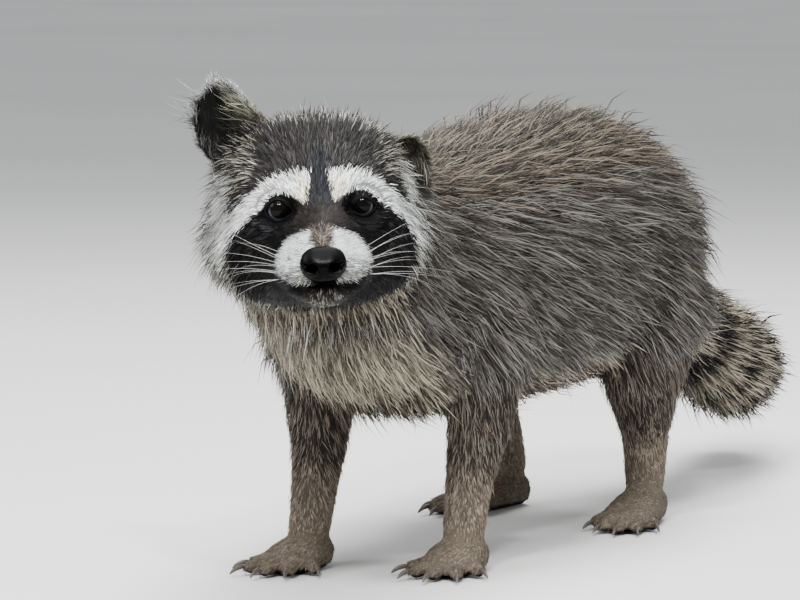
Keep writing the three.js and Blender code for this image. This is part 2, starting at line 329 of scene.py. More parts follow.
def coat_lie(points, normals, share):
    """The coat's length in millimetres and its lift in degrees over the whole animal."""
    at = dict(zip(REGIONS, share.T, strict=True))
    height = points[:, 2] / MM
    long_head, lift_head = head_lie(HEAD.local(points))
    belly = rise(-0.2, -0.75, normals[:, 2])
    leg = rise(45, 165, height)
    shin = 3.4 + 3.6 * rise(16, 60, height)
    length = {
        "head": long_head,
        "ear": 7.0,
        "neck": 29.0,
        "trunk": 35.0 - 9.0 * belly,
        "foreleg": shin + 12.0 * leg,
        "hindleg": shin + 14.0 * leg,
        "paw": 3.0,
        "tail": 35.0,
    }
    lift = {
        "head": lift_head,
        "ear": 12.0,
        "neck": 21.0,
        "trunk": 18.0 - 3.0 * belly,
        "foreleg": 13.0 + 5.0 * leg,
        "hindleg": 13.0 + 5.0 * leg,
        "paw": 10.0,
        "tail": 28.0,
    }
    total = sum(at.values())
    return (
        sum(at[r] * length[r] for r in REGIONS) / total,
        sum(at[r] * lift[r] for r in REGIONS) / total,
    )


def face_height(local):
    """How high places lie on the face, in millimetres above the eyes."""
    return FACE_UP[1] * local[:, 2] + FACE_UP[0] * local[:, 1]


def head_flow(local):
    """The way the hair points on the head: away from the nose, to the back, and down at the sides."""
    nose = np.array((0.0, -60.0, -24.0))
    bridge = np.array((0.0, -36.0, -3.0))
    along = bridge - nose
    t = np.clip((local - nose) @ along / (along @ along), 0, 1)
    away = unit(local - nose - t[:, None] * along)
    x = np.abs(local[:, 0])
    y = local[:, 1]
    away[:, 1] += 0.35 + 0.5 * rise(0, 60, y)
    away[:, 2] -= 1.5 * rise(18, 58, x + 0.4 * np.maximum(y, 0)) * rise(46, 20, local[:, 2])
    for side in (-1, 1):
        eye = np.array((side * EYE_OUT, 0.0, 0.0))
        gap = (local - eye) * (1, 0.4, 1)
        reach = np.linalg.norm(gap, axis=1)
        push = 1.7 * np.exp(-((np.maximum(reach - 7.0, 0) / 4.5) ** 2)) * (y < 14)
        away += unit(gap) * push[:, None]
    return away


def ear_axes(name):
    """An ear's foot and axes: towards the midline, the way it faces, and up to its tip."""
    ear = EARS[name]
    up = unit(np.array(ear["rise"], float))
    face = np.array(ear["open"], float)
    face = unit(face - up * (face @ up))
    inward = np.cross(up, face) * -np.sign(ear["foot"][0])
    return np.array(ear["foot"], float), inward, face, up


class EarSpots:
    """Where places lie on the nearer ear: across it, up it, and the ear's axes there."""

    def __init__(self, local):
        shape = (len(local), 3)
        self.inward, self.face, self.up = np.zeros(shape), np.zeros(shape), np.zeros(shape)
        gap = np.zeros(shape)
        for name, side in (("ear_right", -1), ("ear_left", 1)):
            here = local[:, 0] * side > 0
            foot, self.inward[here], self.face[here], self.up[here] = ear_axes(name)
            gap[here] = local[here] - foot
        along = (gap * self.up).sum(1)
        share = np.clip((along + EAR_ROOT) / EAR_LENGTH, 0.02, 0.98)
        self.t = np.clip(along / (EAR_LENGTH - EAR_ROOT), 0, 1)
        self.reach = (gap * self.inward).sum(1)
        # The half widths of the ear's solid, on its outer and its inner side.
        outer = 17.8 + 7.0 * np.maximum(0, 0.4 - share) - 58.0 * np.maximum(0, share - 0.78)
        inner = 18.8 + 22.0 * (1 - share) ** 1.6
        half = np.where(self.reach > 0, inner, outer) * np.sqrt(1 - (2 * share - 1) ** 2)
        self.across = self.reach / half

    def facing(self, normals):
        """How far places face the way the ear's hollow does: 1 in the hollow, -1 on the back."""
        return ((normals @ HEAD.turn.T) * self.face).sum(1)

    def share(self):
        """How far out a place lies, from -1 at the outer edge of the skin to 1 at the inner one."""
        inner = line(self.t, (0.2, 0.94), (0.5, 0.88), (0.7, 0.80), (0.8, 0.70), (0.9, 0.4))
        low_outer = ((0.2, 0.82), (0.4, 0.80), (0.6, 0.68))
        outer = line(self.t, *low_outer, (0.7, 0.60), (0.8, 0.36), (0.9, 0.2))
        return np.clip(self.across / np.where(self.across > 0, inner, outer), -1.2, 1.2)

    def edge(self):
        """How near a place is to the ear's edge: the inner one, the outer one or the tip."""
        share = self.share()
        inner, outer = rise(0.84, 0.95, share), rise(-0.94, -1.04, share)
        return np.maximum.reduce([inner, outer, rise(0.80, 0.87, self.t)])

    def outer_back(self, inside):
        """How much of the pale outer part of an ear's back there is."""
        return (1 - inside) * rise(-0.2, -0.55, self.share())


def ear_flow(local, normals):
    """The way the hair points on the ears: up the back, and in from both edges within."""
    ear = EarSpots(local)
    within = rise(0.0, 0.3, ear.facing(normals))
    away = 0.8 * rise(-0.2, 0.6, ear.across) - 0.6 * rise(-0.3, -0.8, ear.across)
    return ear.up - (within * away)[:, None] * ear.inward


def coat_flow(points, normals, share):
    """The way the hair points over the whole animal, lying on the skin."""
    at = dict(zip(REGIONS, share.T, strict=True))
    local = HEAD.local(points)
    body = TRUNK.local(points)
    flank = rise(0.15, 0.85, np.abs(normals @ TRUNK.turn[0]))
    down = np.zeros_like(points)
    down[:, 2] = -1
    back = np.tile(TRUNK.turn[1], (len(points), 1))
    paths = {"head": HEAD.heading(head_flow(local))}
    paths["ear"] = HEAD.heading(ear_flow(local, normals))
    paths["neck"] = back + 0.55 * down
    paths["trunk"] = back + 0.45 * flank[:, None] * down
    paths["foreleg"] = down + 0.25 * back
    paths["hindleg"] = down + 0.45 * back
    paths["paw"] = down * 0.35 - back
    tail = TRUNK.local(node_points("tail"))
    root = tail[tail[:, 1] < tail[:, 1].min() + 30].mean(0)
    paths["tail"] = TRUNK.heading(unit(body - root + (0, 40, 0)))
    way = sum(at[r][:, None] * unit(paths[r]) for r in REGIONS)
    return way - normals * (way * normals).sum(1, keepdims=True)


# ---------------------------------------------------------------- markings

# Each kind of hair: its root, middle, light tip and dark tip in colours of the palette, and the share of
# hairs with a light tip. The dark roots are partly the hairs' own colour and partly painted shade deep
# in the coat.
KINDS = {
    "back": ("root", "grizzle", "tan", "brown", 0.42),
    "flank": ("root", "grizzle", "silver", "dun", 0.48),
    "belly": ("grizzle", "tan", "cream", "grizzle", 0.60),
    "leg": ("umber", "grizzle", "buff", "brown", 0.50),
    "paw": ("grizzle", "tan", "buff", "grizzle", 0.60),
    "tail_dark": ("root", "black", "mask_tip", "black", 0.20),
    "tail_light": ("grizzle", "tan", "cream", "grizzle", 0.60),
    "forehead": ("root", "slate", "ash", "brown", 0.46),
    "crown": ("root", "slate", "frost", "brown", 0.46),
    "temple": ("root", "umber", "pale", "brown", 0.46),
    "ruff": ("root", "silver", "white", "brown", 0.66),
    "patch": ("root", "brown", "grizzle", "black", 0.30),
    "stripe": ("root", "steel", "slate", "mask", 0.55),
    "mask": ("black", "mask", "mask_tip", "black", 0.24),
    "brow": ("slate", "white", "white", "silver", 0.76),
    "inner_brow": ("slate", "yellow", "yellow", "cream", 0.62),
    "bridge": ("root", "umber", "dun", "brown", 0.50),
    "bridge_tip": ("dun", "dun", "buff", "dun", 0.62),
    "muzzle": ("slate", "bright", "bright", "ash", 0.84),
    # The lower muzzle's greyer hair is painted shade, where the light from above falls off.
    "muzzle_painted_shade": ("slate", "silver", "frost", "ash", 0.62),
    "lip": ("black", "black", "slate", "black", 0.20),
    # The chin's hair is painted darker than its own pale grey: painted shade under the head.
    "chin": ("root", "umber", "silver", "brown", 0.34),
    "throat": ("root", "umber", "silver", "brown", 0.45),
    "ear_rim": ("slate", "silver", "white", "silver", 0.50),
    "ear_low_rim": ("umber", "olive", "pale", "olive", 0.55),
    "ear_band": ("moss", "olive", "pale", "umber", 0.26),
    "ear_side": ("moss", "ash", "silver", "moss", 0.50),
    "ear_outer": ("slate", "silver", "white", "silver", 0.50),
    "ear_foot": ("root", "umber", "tan", "brown", 0.38),
    # The near-black hollow is partly the ear's own dark skin and hair, partly painted shade in the
    # hollow.
    "ear_hollow": ("black", "moss", "slate", "black", 0.15),
    "ear_back": ("root", "brown", "silver", "black", 0.35),
}


def head_markings(local):
    """Pairs of a kind of hair and how much of it there is, from the first laid to the last."""
    x = np.abs(local[:, 0])
    y = local[:, 1]
    z = local[:, 2]
    up = face_height(local)
    out = x + 0.8 * np.maximum(y - 10, 0)
    front = rise(34, 22, y)

    # The white brow bands, with a cream wedge at their inner ends.
    top = line(out, (4.8, 19), (16, 19), (25.5, 16.8), (33, 12), (41, 5), (50, -1), (66, -13))
    inner_foot = ((7, 0), (9, 2), (12, 4.6), (19, 8), (27, 6))
    foot = line(out, *inner_foot, (31, 1.3), (40, -5.5), (47, -11), (66, -31))
    inner = line(up, (0, 7.6), (19, 4.8))
    loose = line(out, (16, 1.3), (34, 3.0), (60, 6.5))
    brow = rise(-1, 1, (top - up) / loose) * rise(-1.3, 1.3, up - foot) * rise(-0.9, 0.9, x - inner)
    brow = brow * rise(74, 60, out)
    wedge = 0.9 * rise(18, 8, x) * rise(23, 9, up)

    # The dark stripe from between the eyes up the forehead.
    stripe_half = line(up, (-2, 7.3), (5, 5.8), (12, 4.4), (20, 4.4), (36, 9))
    soft = line(up, (14, 1.2), (34, 6))
    stripe = rise(1, -1, (x - stripe_half) / soft) * rise(-6, 6, up) * rise(40, 19, up) * front

    # The black mask, and the black ring round each eye.
    reach = line(up, (-50, 36), (-35, 47), (-20, 53), (-8, 58), (0, 60))
    loose = line(up, (-44, 9), (-14, 2.5))
    mask = rise(-1.3, 1.3, foot - up) * rise(6.2, 8.8, x) * rise(loose, -loose, out - reach)
    mask = mask * rise(-62, -50, up)
    ring = rise(1.1, 0.94, np.hypot((x - 21.4) / 9.4, (up - 0.1) / 7.6)) * rise(14, 8, y)

    # The white patch on each side of the muzzle.
    patch_top = line(x, (6.3, -13.8), (15.7, -17), (21.6, -23), (25.3, -32))
    patch_side = line(up, (-44, 15), (-38, 21.3), (-29, 23.3), (-20, 20.5))
    muzzle = rise(-1.8, 1.8, patch_top - up) * rise(2.2, -2.2, x - patch_side)
    muzzle = muzzle * rise(4.8, 6.6, x + 3 * rise(-21, -25, up)) * rise(-45, -39, up)
    muzzle = muzzle * rise(-10, -16, y)

    # The brown bridge of the nose, the lips and the chin.
    wide = line(up, (-14, 11.5), (-6, 12), (2, 8.5))
    bridge = rise(wide + 3.2, wide - 2.2, x) * rise(5, -1, up) * rise(6, -4, y)
    tip = bridge * rise(-8, -16, up) * rise(7.4, 5.0, x)
    lip = np.maximum(rise(8, 4, x) * rise(-33, -38, up), rise(-42.5, -44.5, up)) * rise(-48, -45.5, up)
    lip = lip * rise(-8, -16, y) * rise(24, 20, x)
    # The chin is painted dark grey-brown as painted shade under the head.
    chin = rise(-45, -49, up) * rise(-24, -36, y) * rise(14, 6, x)

    # The top, the sides and the back of the head.
    crown = rise(16, 42, y) * rise(18, 34, z)
    temple = rise(27, 38, x) * rise(4, 12, up - top) * rise(60, 34, y)
    low_ruff = rise(-3, 4, out - reach) * rise(3, -3, up - foot)
    ruff = np.maximum(low_ruff, rise(44, 60, out) * rise(24, 8, z))
    nape = rise(44, 72, y + 0.2 * z)
    patch = np.exp(-(((x - 36) / 9) ** 2 + ((y - 36) / 10) ** 2 + ((z - 33) / 9) ** 2))
    throat = rise(-50, -60, up) * rise(50, 36, x)
    return (
        ("forehead", np.ones(len(x))),
        ("crown", crown),
        ("temple", temple),
        ("patch", patch),
        ("ruff", ruff),
        ("temple", 0.8 * ruff * rise(-8, -30, up)),
        ("flank", nape),
        ("back", nape * rise(0, 30, z)),
        ("throat", throat * (1 - nape)),
        ("mask", mask),
        ("bridge", bridge),
        ("bridge", 0.5 * mask * rise(27, 12, x) * rise(0, -8, up) * rise(-40, -30, up)),
        ("bridge_tip", tip),
        ("stripe", stripe),
        ("brow", brow),
        ("inner_brow", brow * wedge),
        ("mask", ring),
        ("muzzle", muzzle),
        # Painted shade: the muzzle's white greys towards its lower part.
        ("muzzle_painted_shade", muzzle * (0.2 + 0.7 * rise(-26, -42, up)) * rise(-22, -27, up)),
        ("chin", 0.8 * chin),
        ("lip", lip),
    )


def ear_markings(local, normals):
    """How much rim, band, hollow and back there is at places on the ears."""
    ear = EarSpots(local)
    inside = rise(-0.15, 0.25, ear.facing(normals))
    high = rise(0.30, 0.62, ear.t)
    inner = rise(-0.2, 0.3, ear.across)
    low = rise(0.42, 0.12, ear.t)
    share = ear.share()
    band = inside * rise(0.38, 0.68, share + 0.15 * (ear.t - 0.5))
    side = inside * rise(-0.3, -0.9, share) * rise(0.55, 0.1, ear.t)
    edge = ear.edge()
    return (
        ("ear_back", np.ones(len(local))),
        ("ear_rim", 0.6 * (1 - inside) * rise(0.6, 0.95, ear.t)),
        # Partly painted shade: the hollow's hair is near black.
        ("ear_hollow", inside),
        ("ear_side", 0.85 * side),
        ("ear_band", band),
        ("ear_outer", np.maximum(edge * (1 - inner), ear.outer_back(inside)) * (0.75 + 0.25 * high)),
        ("ear_low_rim", edge * inner * rise(-0.3, 0.2, ear.t)),
        ("ear_foot", 0.8 * band * low),
        ("ear_rim", edge * high * (1 - 0.6 * inner * rise(0.85, 0.55, ear.t))),
    )


def body_markings(points, normals):
    """How much of each kind of hair there is on the trunk, neck, legs and paws."""
    height = points[:, 2] / MM
    spine = rise(0.35, 0.9, normals[:, 2])
    under = rise(-0.25, -0.75, normals[:, 2])
    below_head = np.linalg.norm((HEAD.local(points) - (0, 10, -62)) / (1.2, 1, 1), axis=1)
    return (
        ("flank", np.ones(len(points))),
        ("back", spine),
        ("belly", under * rise(70, 100, height)),
        ("patch", 0.75 * rise(62, 22, below_head)),
        ("leg", rise(130, 90, height)),
        ("paw", rise(75, 35, height)),
    )


# Dark rings along the tail, with the one that the tip hides.
TAIL_RINGS = 6.0


def tail_markings(points):
    """Dark rings and a dark tip, counted along the tail."""
    ends = TRUNK.local(node_points("tail"))[:, 1]
    t = (TRUNK.local(points)[:, 1] - ends.min()) / (ends.max() - ends.min())
    ring = np.cos((t * TAIL_RINGS - 0.15) * 2 * math.pi)
    dark = rise(-0.25, 0.35, -ring) * rise(0.04, 0.12, t)
    return (("tail_light", np.ones(len(t))), ("tail_dark", np.maximum(dark, rise(0.86, 0.92, t))))


def palette():
    """The coat's colours by name."""
    colours = bpy.context.scene.raccoon_colours
    return {name: np.array(getattr(colours, name)) for name in colours.__annotations__}


# What a row of a pelt holds: four colours, and the share of hairs with a light tip.
ROOT, MIDDLE, LIGHT, DARK = (slice(k, k + 3) for k in (0, 3, 6, 9))
LIGHT_SHARE = 12


def lay(kinds, colours, pick):
    """Lays kinds of hair one over another, mixed, or one kind for each hair by its pick."""
    pelt = 0.0
    for kind, much in kinds:
        if pick is not None:
            much = np.where(pick < rise(0.1, 0.9, much), 1.0, 0.0)
        *parts, light = KINDS[kind]
        row = np.concatenate([colours[p] for p in parts] + [[light]])
        pelt = pelt * (1 - much[:, None]) + row * much[:, None]
    return pelt


def markings(points, normals, share, colours, pick=None):
    """The pelt at places on the animal, from the kinds of hair of the regions that they belong to."""
    at = dict(zip(REGIONS, share.T, strict=True))
    local = HEAD.local(points)
    body = lay(body_markings(points, normals), colours, pick)
    whole = sum(at[r] for r in ("trunk", "neck", "foreleg", "hindleg", "paw"))
    pelt = body * whole[:, None]
    pelt += lay(head_markings(local), colours, pick) * at["head"][:, None]
    pelt += lay(ear_markings(local, normals), colours, pick) * at["ear"][:, None]
    pelt += lay(tail_markings(points), colours, pick) * at["tail"][:, None]
    return pelt / share.sum(1, keepdims=True)


# ---------------------------------------------------------------- materials


def new_material(name):
    """A material, its node tree and its shader."""
    material = bpy.data.materials.new(name)
    material.use_nodes = True
    tree = material.node_tree
    shader = next(n for n in tree.nodes if n.type == "BSDF_PRINCIPLED")
    return material, tree, shader


def grain_group():
    """Fine grain: a colour varied in lightness, a roughness and a height, all over the surface."""
    found = bpy.data.node_groups.get("hide and hair grain")
    if found:
        return found
    group = bpy.data.node_groups.new("hide and hair grain", "ShaderNodeTree")
    for name, kind, default in (
        ("Colour", "NodeSocketColor", None),
        ("Scale", "NodeSocketFloat", 900.0),
        ("Spread", "NodeSocketFloat", 0.25),
        ("Low roughness", "NodeSocketFloat", 0.45),
        ("High roughness", "NodeSocketFloat", 0.7),
    ):
        socket = group.interface.new_socket(name, in_out="INPUT", socket_type=kind)
        if default is not None:
            socket.default_value = default
    for name, kind in (
        ("Colour", "NodeSocketColor"),
        ("Roughness", "NodeSocketFloat"),
        ("Height", "NodeSocketFloat"),
    ):
        group.interface.new_socket(name, in_out="OUTPUT", socket_type=kind)
    nodes, links = group.nodes, group.links
    given = nodes.new("NodeGroupInput")
    result = nodes.new("NodeGroupOutput")
    place = nodes.new("ShaderNodeTexCoord")
    noise = nodes.new("ShaderNodeTexNoise")
    noise.inputs["Detail"].default_value = 3
    links.new(place.outputs["Object"], noise.inputs["Vector"])
    links.new(given.outputs["Scale"], noise.inputs["Scale"])
    centred = nodes.new("ShaderNodeMath")
    centred.operation = "SUBTRACT"
    centred.inputs[1].default_value = 0.5
    links.new(noise.outputs["Fac"], centred.inputs[0])
    swing = nodes.new("ShaderNodeMath")
    swing.operation = "MULTIPLY_ADD"
    swing.inputs[2].default_value = 1.0
    links.new(centred.outputs[0], swing.inputs[0])
    links.new(given.outputs["Spread"], swing.inputs[1])
    varied = nodes.new("ShaderNodeVectorMath")
    varied.operation = "SCALE"
    links.new(given.outputs["Colour"], varied.inputs[0])
    links.new(swing.outputs[0], varied.inputs["Scale"])
    links.new(varied.outputs["Vector"], result.inputs["Colour"])
    rough = nodes.new("ShaderNodeMapRange")
    links.new(noise.outputs["Fac"], rough.inputs["Value"])
    links.new(given.outputs["Low roughness"], rough.inputs["To Min"])
    links.new(given.outputs["High roughness"], rough.inputs["To Max"])
    links.new(rough.outputs[0], result.inputs["Roughness"])
    links.new(noise.outputs["Fac"], result.inputs["Height"])
    return group


def grained(tree, source, scale, spread, rough, shader, bump):
    """Puts the grain group between a colour and a shader."""
    grain = tree.nodes.new("ShaderNodeGroup")
    grain.node_tree = grain_group()
    tree.links.new(source, grain.inputs["Colour"])
    grain.inputs["Scale"].default_value = scale
    grain.inputs["Spread"].default_value = spread
    grain.inputs["Low roughness"].default_value = rough[0]
    grain.inputs["High roughness"].default_value = rough[1]
    tree.links.new(grain.outputs["Colour"], shader.inputs["Base Color"])
    tree.links.new(grain.outputs["Roughness"], shader.inputs["Roughness"])
    if bump:
        relief = tree.nodes.new("ShaderNodeBump")
        relief.inputs["Distance"].default_value = bump
        tree.links.new(grain.outputs["Height"], relief.inputs["Height"])
        tree.links.new(relief.outputs["Normal"], shader.inputs["Normal"])


def painted_material(name, layer, scale, spread, rough, bump):
    """A material that takes its colour from the piece's own painted layer."""
    material, tree, shader = new_material(name)
    colour = tree.nodes.new("ShaderNodeAttribute")
    colour.attribute_name = layer
    grained(tree, colour.outputs["Color"], scale, spread, rough, shader, bump)
    return material, shader


def hide_material():
    """The skin's material, made once."""
    found = bpy.data.materials.get("raccoon hide")
    if found:
        return found
    material, shader = painted_material("raccoon hide", "hide colour", 700, 0.5, (0.5, 0.75), 0.0004)
    shader.inputs["Specular IOR Level"].default_value = 0.06
    return material


def hair_material():
    """The coat's material, made once."""
    found = bpy.data.materials.get("raccoon hair")
    if found:
        return found
    material, shader = painted_material("raccoon hair", "hair colour", 1500, 0.35, (0.5, 0.7), 0)
    shader.inputs["Specular IOR Level"].default_value = 0.05
    return material


def plain_material(name, colour, scale, spread, rough, bump):
    """A material of one colour that darkens a little in soft patches."""
    material, tree, shader = new_material(name)
    noise = tree.nodes.new("ShaderNodeTexNoise")
    noise.inputs["Scale"].default_value = scale / 5
    place = tree.nodes.new("ShaderNodeTexCoord")
    tree.links.new(place.outputs["Object"], noise.inputs["Vector"])
    mix = tree.nodes.new("ShaderNodeMix")
    mix.data_type = "RGBA"
    mix.inputs["A"].default_value = (*colour, 1)
    mix.inputs["B"].default_value = (*[c * 0.8 for c in colour], 1)
    tree.links.new(noise.outputs["Fac"], mix.inputs["Factor"])
    grained(tree, mix.outputs["Result"], scale, spread, rough, shader, bump)
    return material


# ---------------------------------------------------------------- the skin


def joined_flesh(swell):
    """All nodes of flesh in one mesh, swollen across the gaps between them, with each face's region."""
    whole = bmesh.new()
    regions = []
    for node in FLESH:
        part = bmesh.new()
        part.from_mesh(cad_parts[node].data)
        bmesh.ops.remove_doubles(part, verts=part.verts, dist=1e-5)
        part.normal_update()
        for vert in part.verts:
            vert.co += vert.normal * swell
        mesh = bpy.data.meshes.new("part")
        part.to_mesh(mesh)
        part.free()
        whole.from_mesh(mesh)
        plain = node.replace("forepaw", "paw").replace("hindpaw", "paw")
        region = next(i for i, r in enumerate(REGIONS) if plain.startswith(r))
        regions += [region] * (len(whole.faces) - len(regions))
        bpy.data.meshes.remove(mesh)
    return whole, np.array(regions)


def region_shares(points, tree, regions, near, rounds):
    """How much each point belongs to each region, from the nearest solid, evened out."""
    index = [tree.find_nearest(Vector(p))[2] for p in points]
    one = np.zeros((len(points), len(REGIONS)))
    one[np.arange(len(points)), regions[index]] = 1
    return near.smooth(one, rounds)


# The way the left eye looks on the head's axes, how far its socket reaches from the look line in
# millimetres, and the mesh of its lids.
EYE_AXIS = (0.10, -0.99, 0.03)
SOCKET_REACH = 11.5
LID_SEGMENTS = 72
LID_RINGS = 9
# How far out along the look line the skin is felt for, in millimetres.
FEELER = 40
BARE_HIDE = (0.004, 0.0034, 0.0034)


class Socket:
    """The lids round one eye, measured round and along the way the eye looks."""

    def __init__(self, side, skin_tree):
        self.eye = np.array(centre_of("eye_left" if side > 0 else "eye_right"))
        look = np.array(EYE_AXIS) * (side, 1, 1)
        self.look = unit(HEAD.heading(look))
        self.side = side
        up = HEAD.turn[2] - self.look * (HEAD.turn[2] @ self.look)
        self.up = unit(up)
        self.out = np.cross(self.up, self.look) * -side
        if self.out @ HEAD.turn[0] * side < 0:
            self.out = -self.out
        self.turns = np.linspace(0, FULL_TURN, LID_SEGMENTS, endpoint=False)
        self.skin = self.even(np.array([self.skin_height(a, skin_tree) for a in self.turns]))

    @staticmethod
    def even(heights):
        """Heights round the eye, each evened out with those beside it."""
        for _ in range(4):
            heights = (np.roll(heights, 1) + heights + np.roll(heights, -1)) / 3
        return heights

    def skin_height(self, turn, tree):
        """How high the skin stands at the socket's outer edge."""
        way = self.out * math.cos(turn) + self.up * math.sin(turn)
        start = self.eye + (way * SOCKET_REACH + self.look * FEELER) * MM
        hit = tree.ray_cast(Vector(start), Vector(-self.look), 2 * FEELER * MM)
        return FEELER - hit[3] / MM if hit[0] else 0.0

    def margin(self, turn):
        """The half width of the opening between the lids: round, drawn out at its corners."""
        inner = np.exp(-(((turn - math.pi * 1.04) / 0.36) ** 2))
        outer = np.exp(-((np.minimum(turn, FULL_TURN - turn) / 0.42) ** 2))
        high, low, wide = (3.9, 5.1, 1.7) if self.side > 0 else (5.3, 5.6, 0.7)
        lift = rise(-0.25, 0.25, np.sin(turn))
        return low + (high - low) * lift + 1.9 * inner + wide * outer

    def measure(self, points):
        """Turn, distance from the look line and height along it, in millimetres."""
        gap = (points - self.eye) / MM
        a, b, height = gap @ self.out, gap @ self.up, gap @ self.look
        return np.mod(np.arctan2(b, a), FULL_TURN), np.hypot(a, b), height

    def surface(self, turn, reach):
        """How high the lid stands at a turn and a distance from the look line."""
        skin = np.interp(turn, self.turns, self.skin, period=FULL_TURN)
        edge = self.margin(turn)
        ball = np.sqrt((EYE_RADIUS + 0.9) ** 2 - np.minimum(reach, 7.2) ** 2)
        blend = rise(0.2, 1.0, (reach - edge) / (SOCKET_REACH - edge))
        height = ball * (1 - blend) + (skin - 0.7) * blend
        clear = np.sqrt(np.maximum((EYE_RADIUS + 0.75) ** 2 - reach**2, 0))
        return np.where(reach < EYE_RADIUS, np.maximum(height, clear), height)

    def lower(self, points):
        """Sinks the skin under the lids and clear of the eyeball."""
        turn, reach, height = self.measure(points)
        limit = self.surface(turn, np.maximum(reach, self.margin(turn))) - 0.5
        ball = np.sqrt(np.maximum(EYE_RADIUS**2 - reach**2, 0)) - 1.0
        limit = np.where(reach < self.margin(turn) + 1.0, np.minimum(limit, ball), limit)
        limit = np.where(reach < SOCKET_REACH - 0.6, limit, 1e3)
        sink = np.where(height > -6, np.maximum(height - limit, 0), 0)
        return points - self.look * (sink * MM)[:, None]

    def place(self, turn, reach, height):
        """The place in the model of a turn, a distance from the look line and a height along it."""
        way = self.out * math.cos(turn) + self.up * math.sin(turn)
        return self.eye + (way * reach + self.look * height) * MM

    def add_lids(self, bm):
        """Adds both lids as one closed ring, from behind the ball's front out to under the skin."""
        rings = [("ball", 0.0, -0.5), ("ball", 0.0, 0.1), ("ball", 0.25, 0.75)]
        rings += [("skin", k / LID_RINGS, 0) for k in range(1, LID_RINGS + 1)]
        rings += [("skin", 1.0, -2.5), ("ball", 2.0, -1.3)]
        new = bmesh.ops.create_circle(bm, cap_ends=False, segments=LID_SEGMENTS, radius=1)
        loop = sorted(new["verts"], key=lambda v: math.atan2(v.co.y, v.co.x) % FULL_TURN)
        edges = {e for v in loop for e in v.link_edges}
        first = None
        for kind, much, extra in rings:
            if first is None:
                first = edges
            else:
                made = bmesh.ops.extrude_edge_only(bm, edges=list(edges))["geom"]
                fresh = {v for v in made if isinstance(v, bmesh.types.BMVert)}
                loop = [next(o for e in v.link_edges if (o := e.other_vert(v)) in fresh) for v in loop]
                edges = {e for e in made if isinstance(e, bmesh.types.BMEdge)}
                edges = {e for e in edges if e.verts[0] in fresh and e.verts[1] in fresh}
            for vert, turn in zip(loop, self.turns, strict=True):
                edge = float(self.margin(turn))
                if kind == "ball":
                    reach = edge + much
                    near = min(reach, 6.8)
                    height = math.sqrt((EYE_RADIUS + extra) ** 2 - near**2)
                else:
                    reach = edge + (SOCKET_REACH - edge) * much
                    height = float(self.surface(turn, reach)) + extra
                vert.co = Vector(self.place(turn, reach, height))
        bmesh.ops.bridge_loops(bm, edges=list(first) + list(edges))


def mouth_height(y):
    """How high the line of the mouth lies along the muzzle."""
    return line(y, (-56, -36), (-50, -38.2), (-40, -39), (-28, -38.3), (-16, -36.3), (-8, -33.5))


def carve_muzzle(local):
    """Moves of the skin, in millimetres outward, for the mouth, the split lip and the whisker pads."""
    x, y, z = np.abs(local[:, 0]), local[:, 1], local[:, 2]
    mouth = np.exp(-(((z - mouth_height(y)) / 0.95) ** 2)) * rise(-7, -12, y)
    split = np.exp(-((x / 0.8) ** 2)) * rise(-40, -48, y) * rise(-28, -31, z) * rise(-38, -36.5, z)
    pad = np.exp(-(((x - 17) / 9) ** 2 + ((y + 44) / 11) ** 2 + ((z + 30) / 7) ** 2))
    under = np.exp(-((x / 9) ** 2 + ((y + 47) / 8) ** 2 + ((z + 43) / 3.5) ** 2))
    return pad + 0.6 * under - 1.3 * mouth - 0.9 * split


def thinned_skin(mesh, share, target):
    """The skin with fewer triangles on the body than on the head, ears and paws."""
    obj = show("skin to thin", mesh, hide_material())
    group = obj.vertex_groups.new(name="coarse")
    fine = share[:, REGIONS.index("head")] + share[:, REGIONS.index("ear")]
    fine += share[:, REGIONS.index("paw")]
    group.add(np.nonzero(fine < 0.5)[0].tolist(), 1.0, "REPLACE")
    thin = obj.modifiers.new("thin", "DECIMATE")
    thin.ratio = target / (2 * len(mesh.polygons))
    thin.vertex_group = "coarse"
    thin.vertex_group_factor = 40
    result = finished_mesh(obj)
    bpy.data.objects.remove(obj)
    return result


class Pelt:
    """What the coat needs to know of the skin, kept from one operator to the next."""

    ground = None


class Ground:
    """The skin as arrays: its shape, its regions and how the coat grows on it."""

    def __init__(self, mesh, share):
        self.points = places(mesh)
        self.faces = triangles(mesh)
        self.near = Neighbours(mesh)
        self.normals = normals_of(self.points, self.faces)
        self.share = share
        even = unit(self.near.smooth(self.normals, 3))
        self.length, self.lift = coat_lie(self.points, even, share)
        flow = unit(coat_flow(self.points, even, share))
        self.flow = unit(self.near.smooth(flow, 6))
        loops = np.empty(len(mesh.loop_triangles) * 3, np.int32)
        mesh.loop_triangles.foreach_get("loops", loops)
        flat = np.empty(len(mesh.loops) * 2, np.float32)
        mesh.uv_layers["skin unwrap"].data.foreach_get("uv", flat)
        self.unwrap = flat.reshape(-1, 2)[loops].reshape(-1, 3, 2)
        a, b, c = (self.points[self.faces[:, k]] for k in range(3))
        self.area = np.linalg.norm(np.cross(b - a, c - a), axis=1) / 2
        self.middle = (a + b + c) / 3
        self.facing = unit(np.cross(b - a, c - a))
        self.face_share = share[self.faces].mean(1)


def unwrap(obj, name):
    """Lays the skin out flat, in pieces cut where it turns."""
    layer = obj.data.uv_layers.new(name=name)
    obj.data.uv_layers.active = layer
    bpy.ops.object.select_all(action="DESELECT")
    obj.select_set(True)
    bpy.context.view_layer.objects.active = obj
    bpy.ops.object.mode_set(mode="EDIT")
    bpy.ops.mesh.select_all(action="SELECT")
    bpy.ops.uv.smart_project(angle_limit=math.radians(66), island_margin=0.001)
    bpy.ops.object.mode_set(mode="OBJECT")


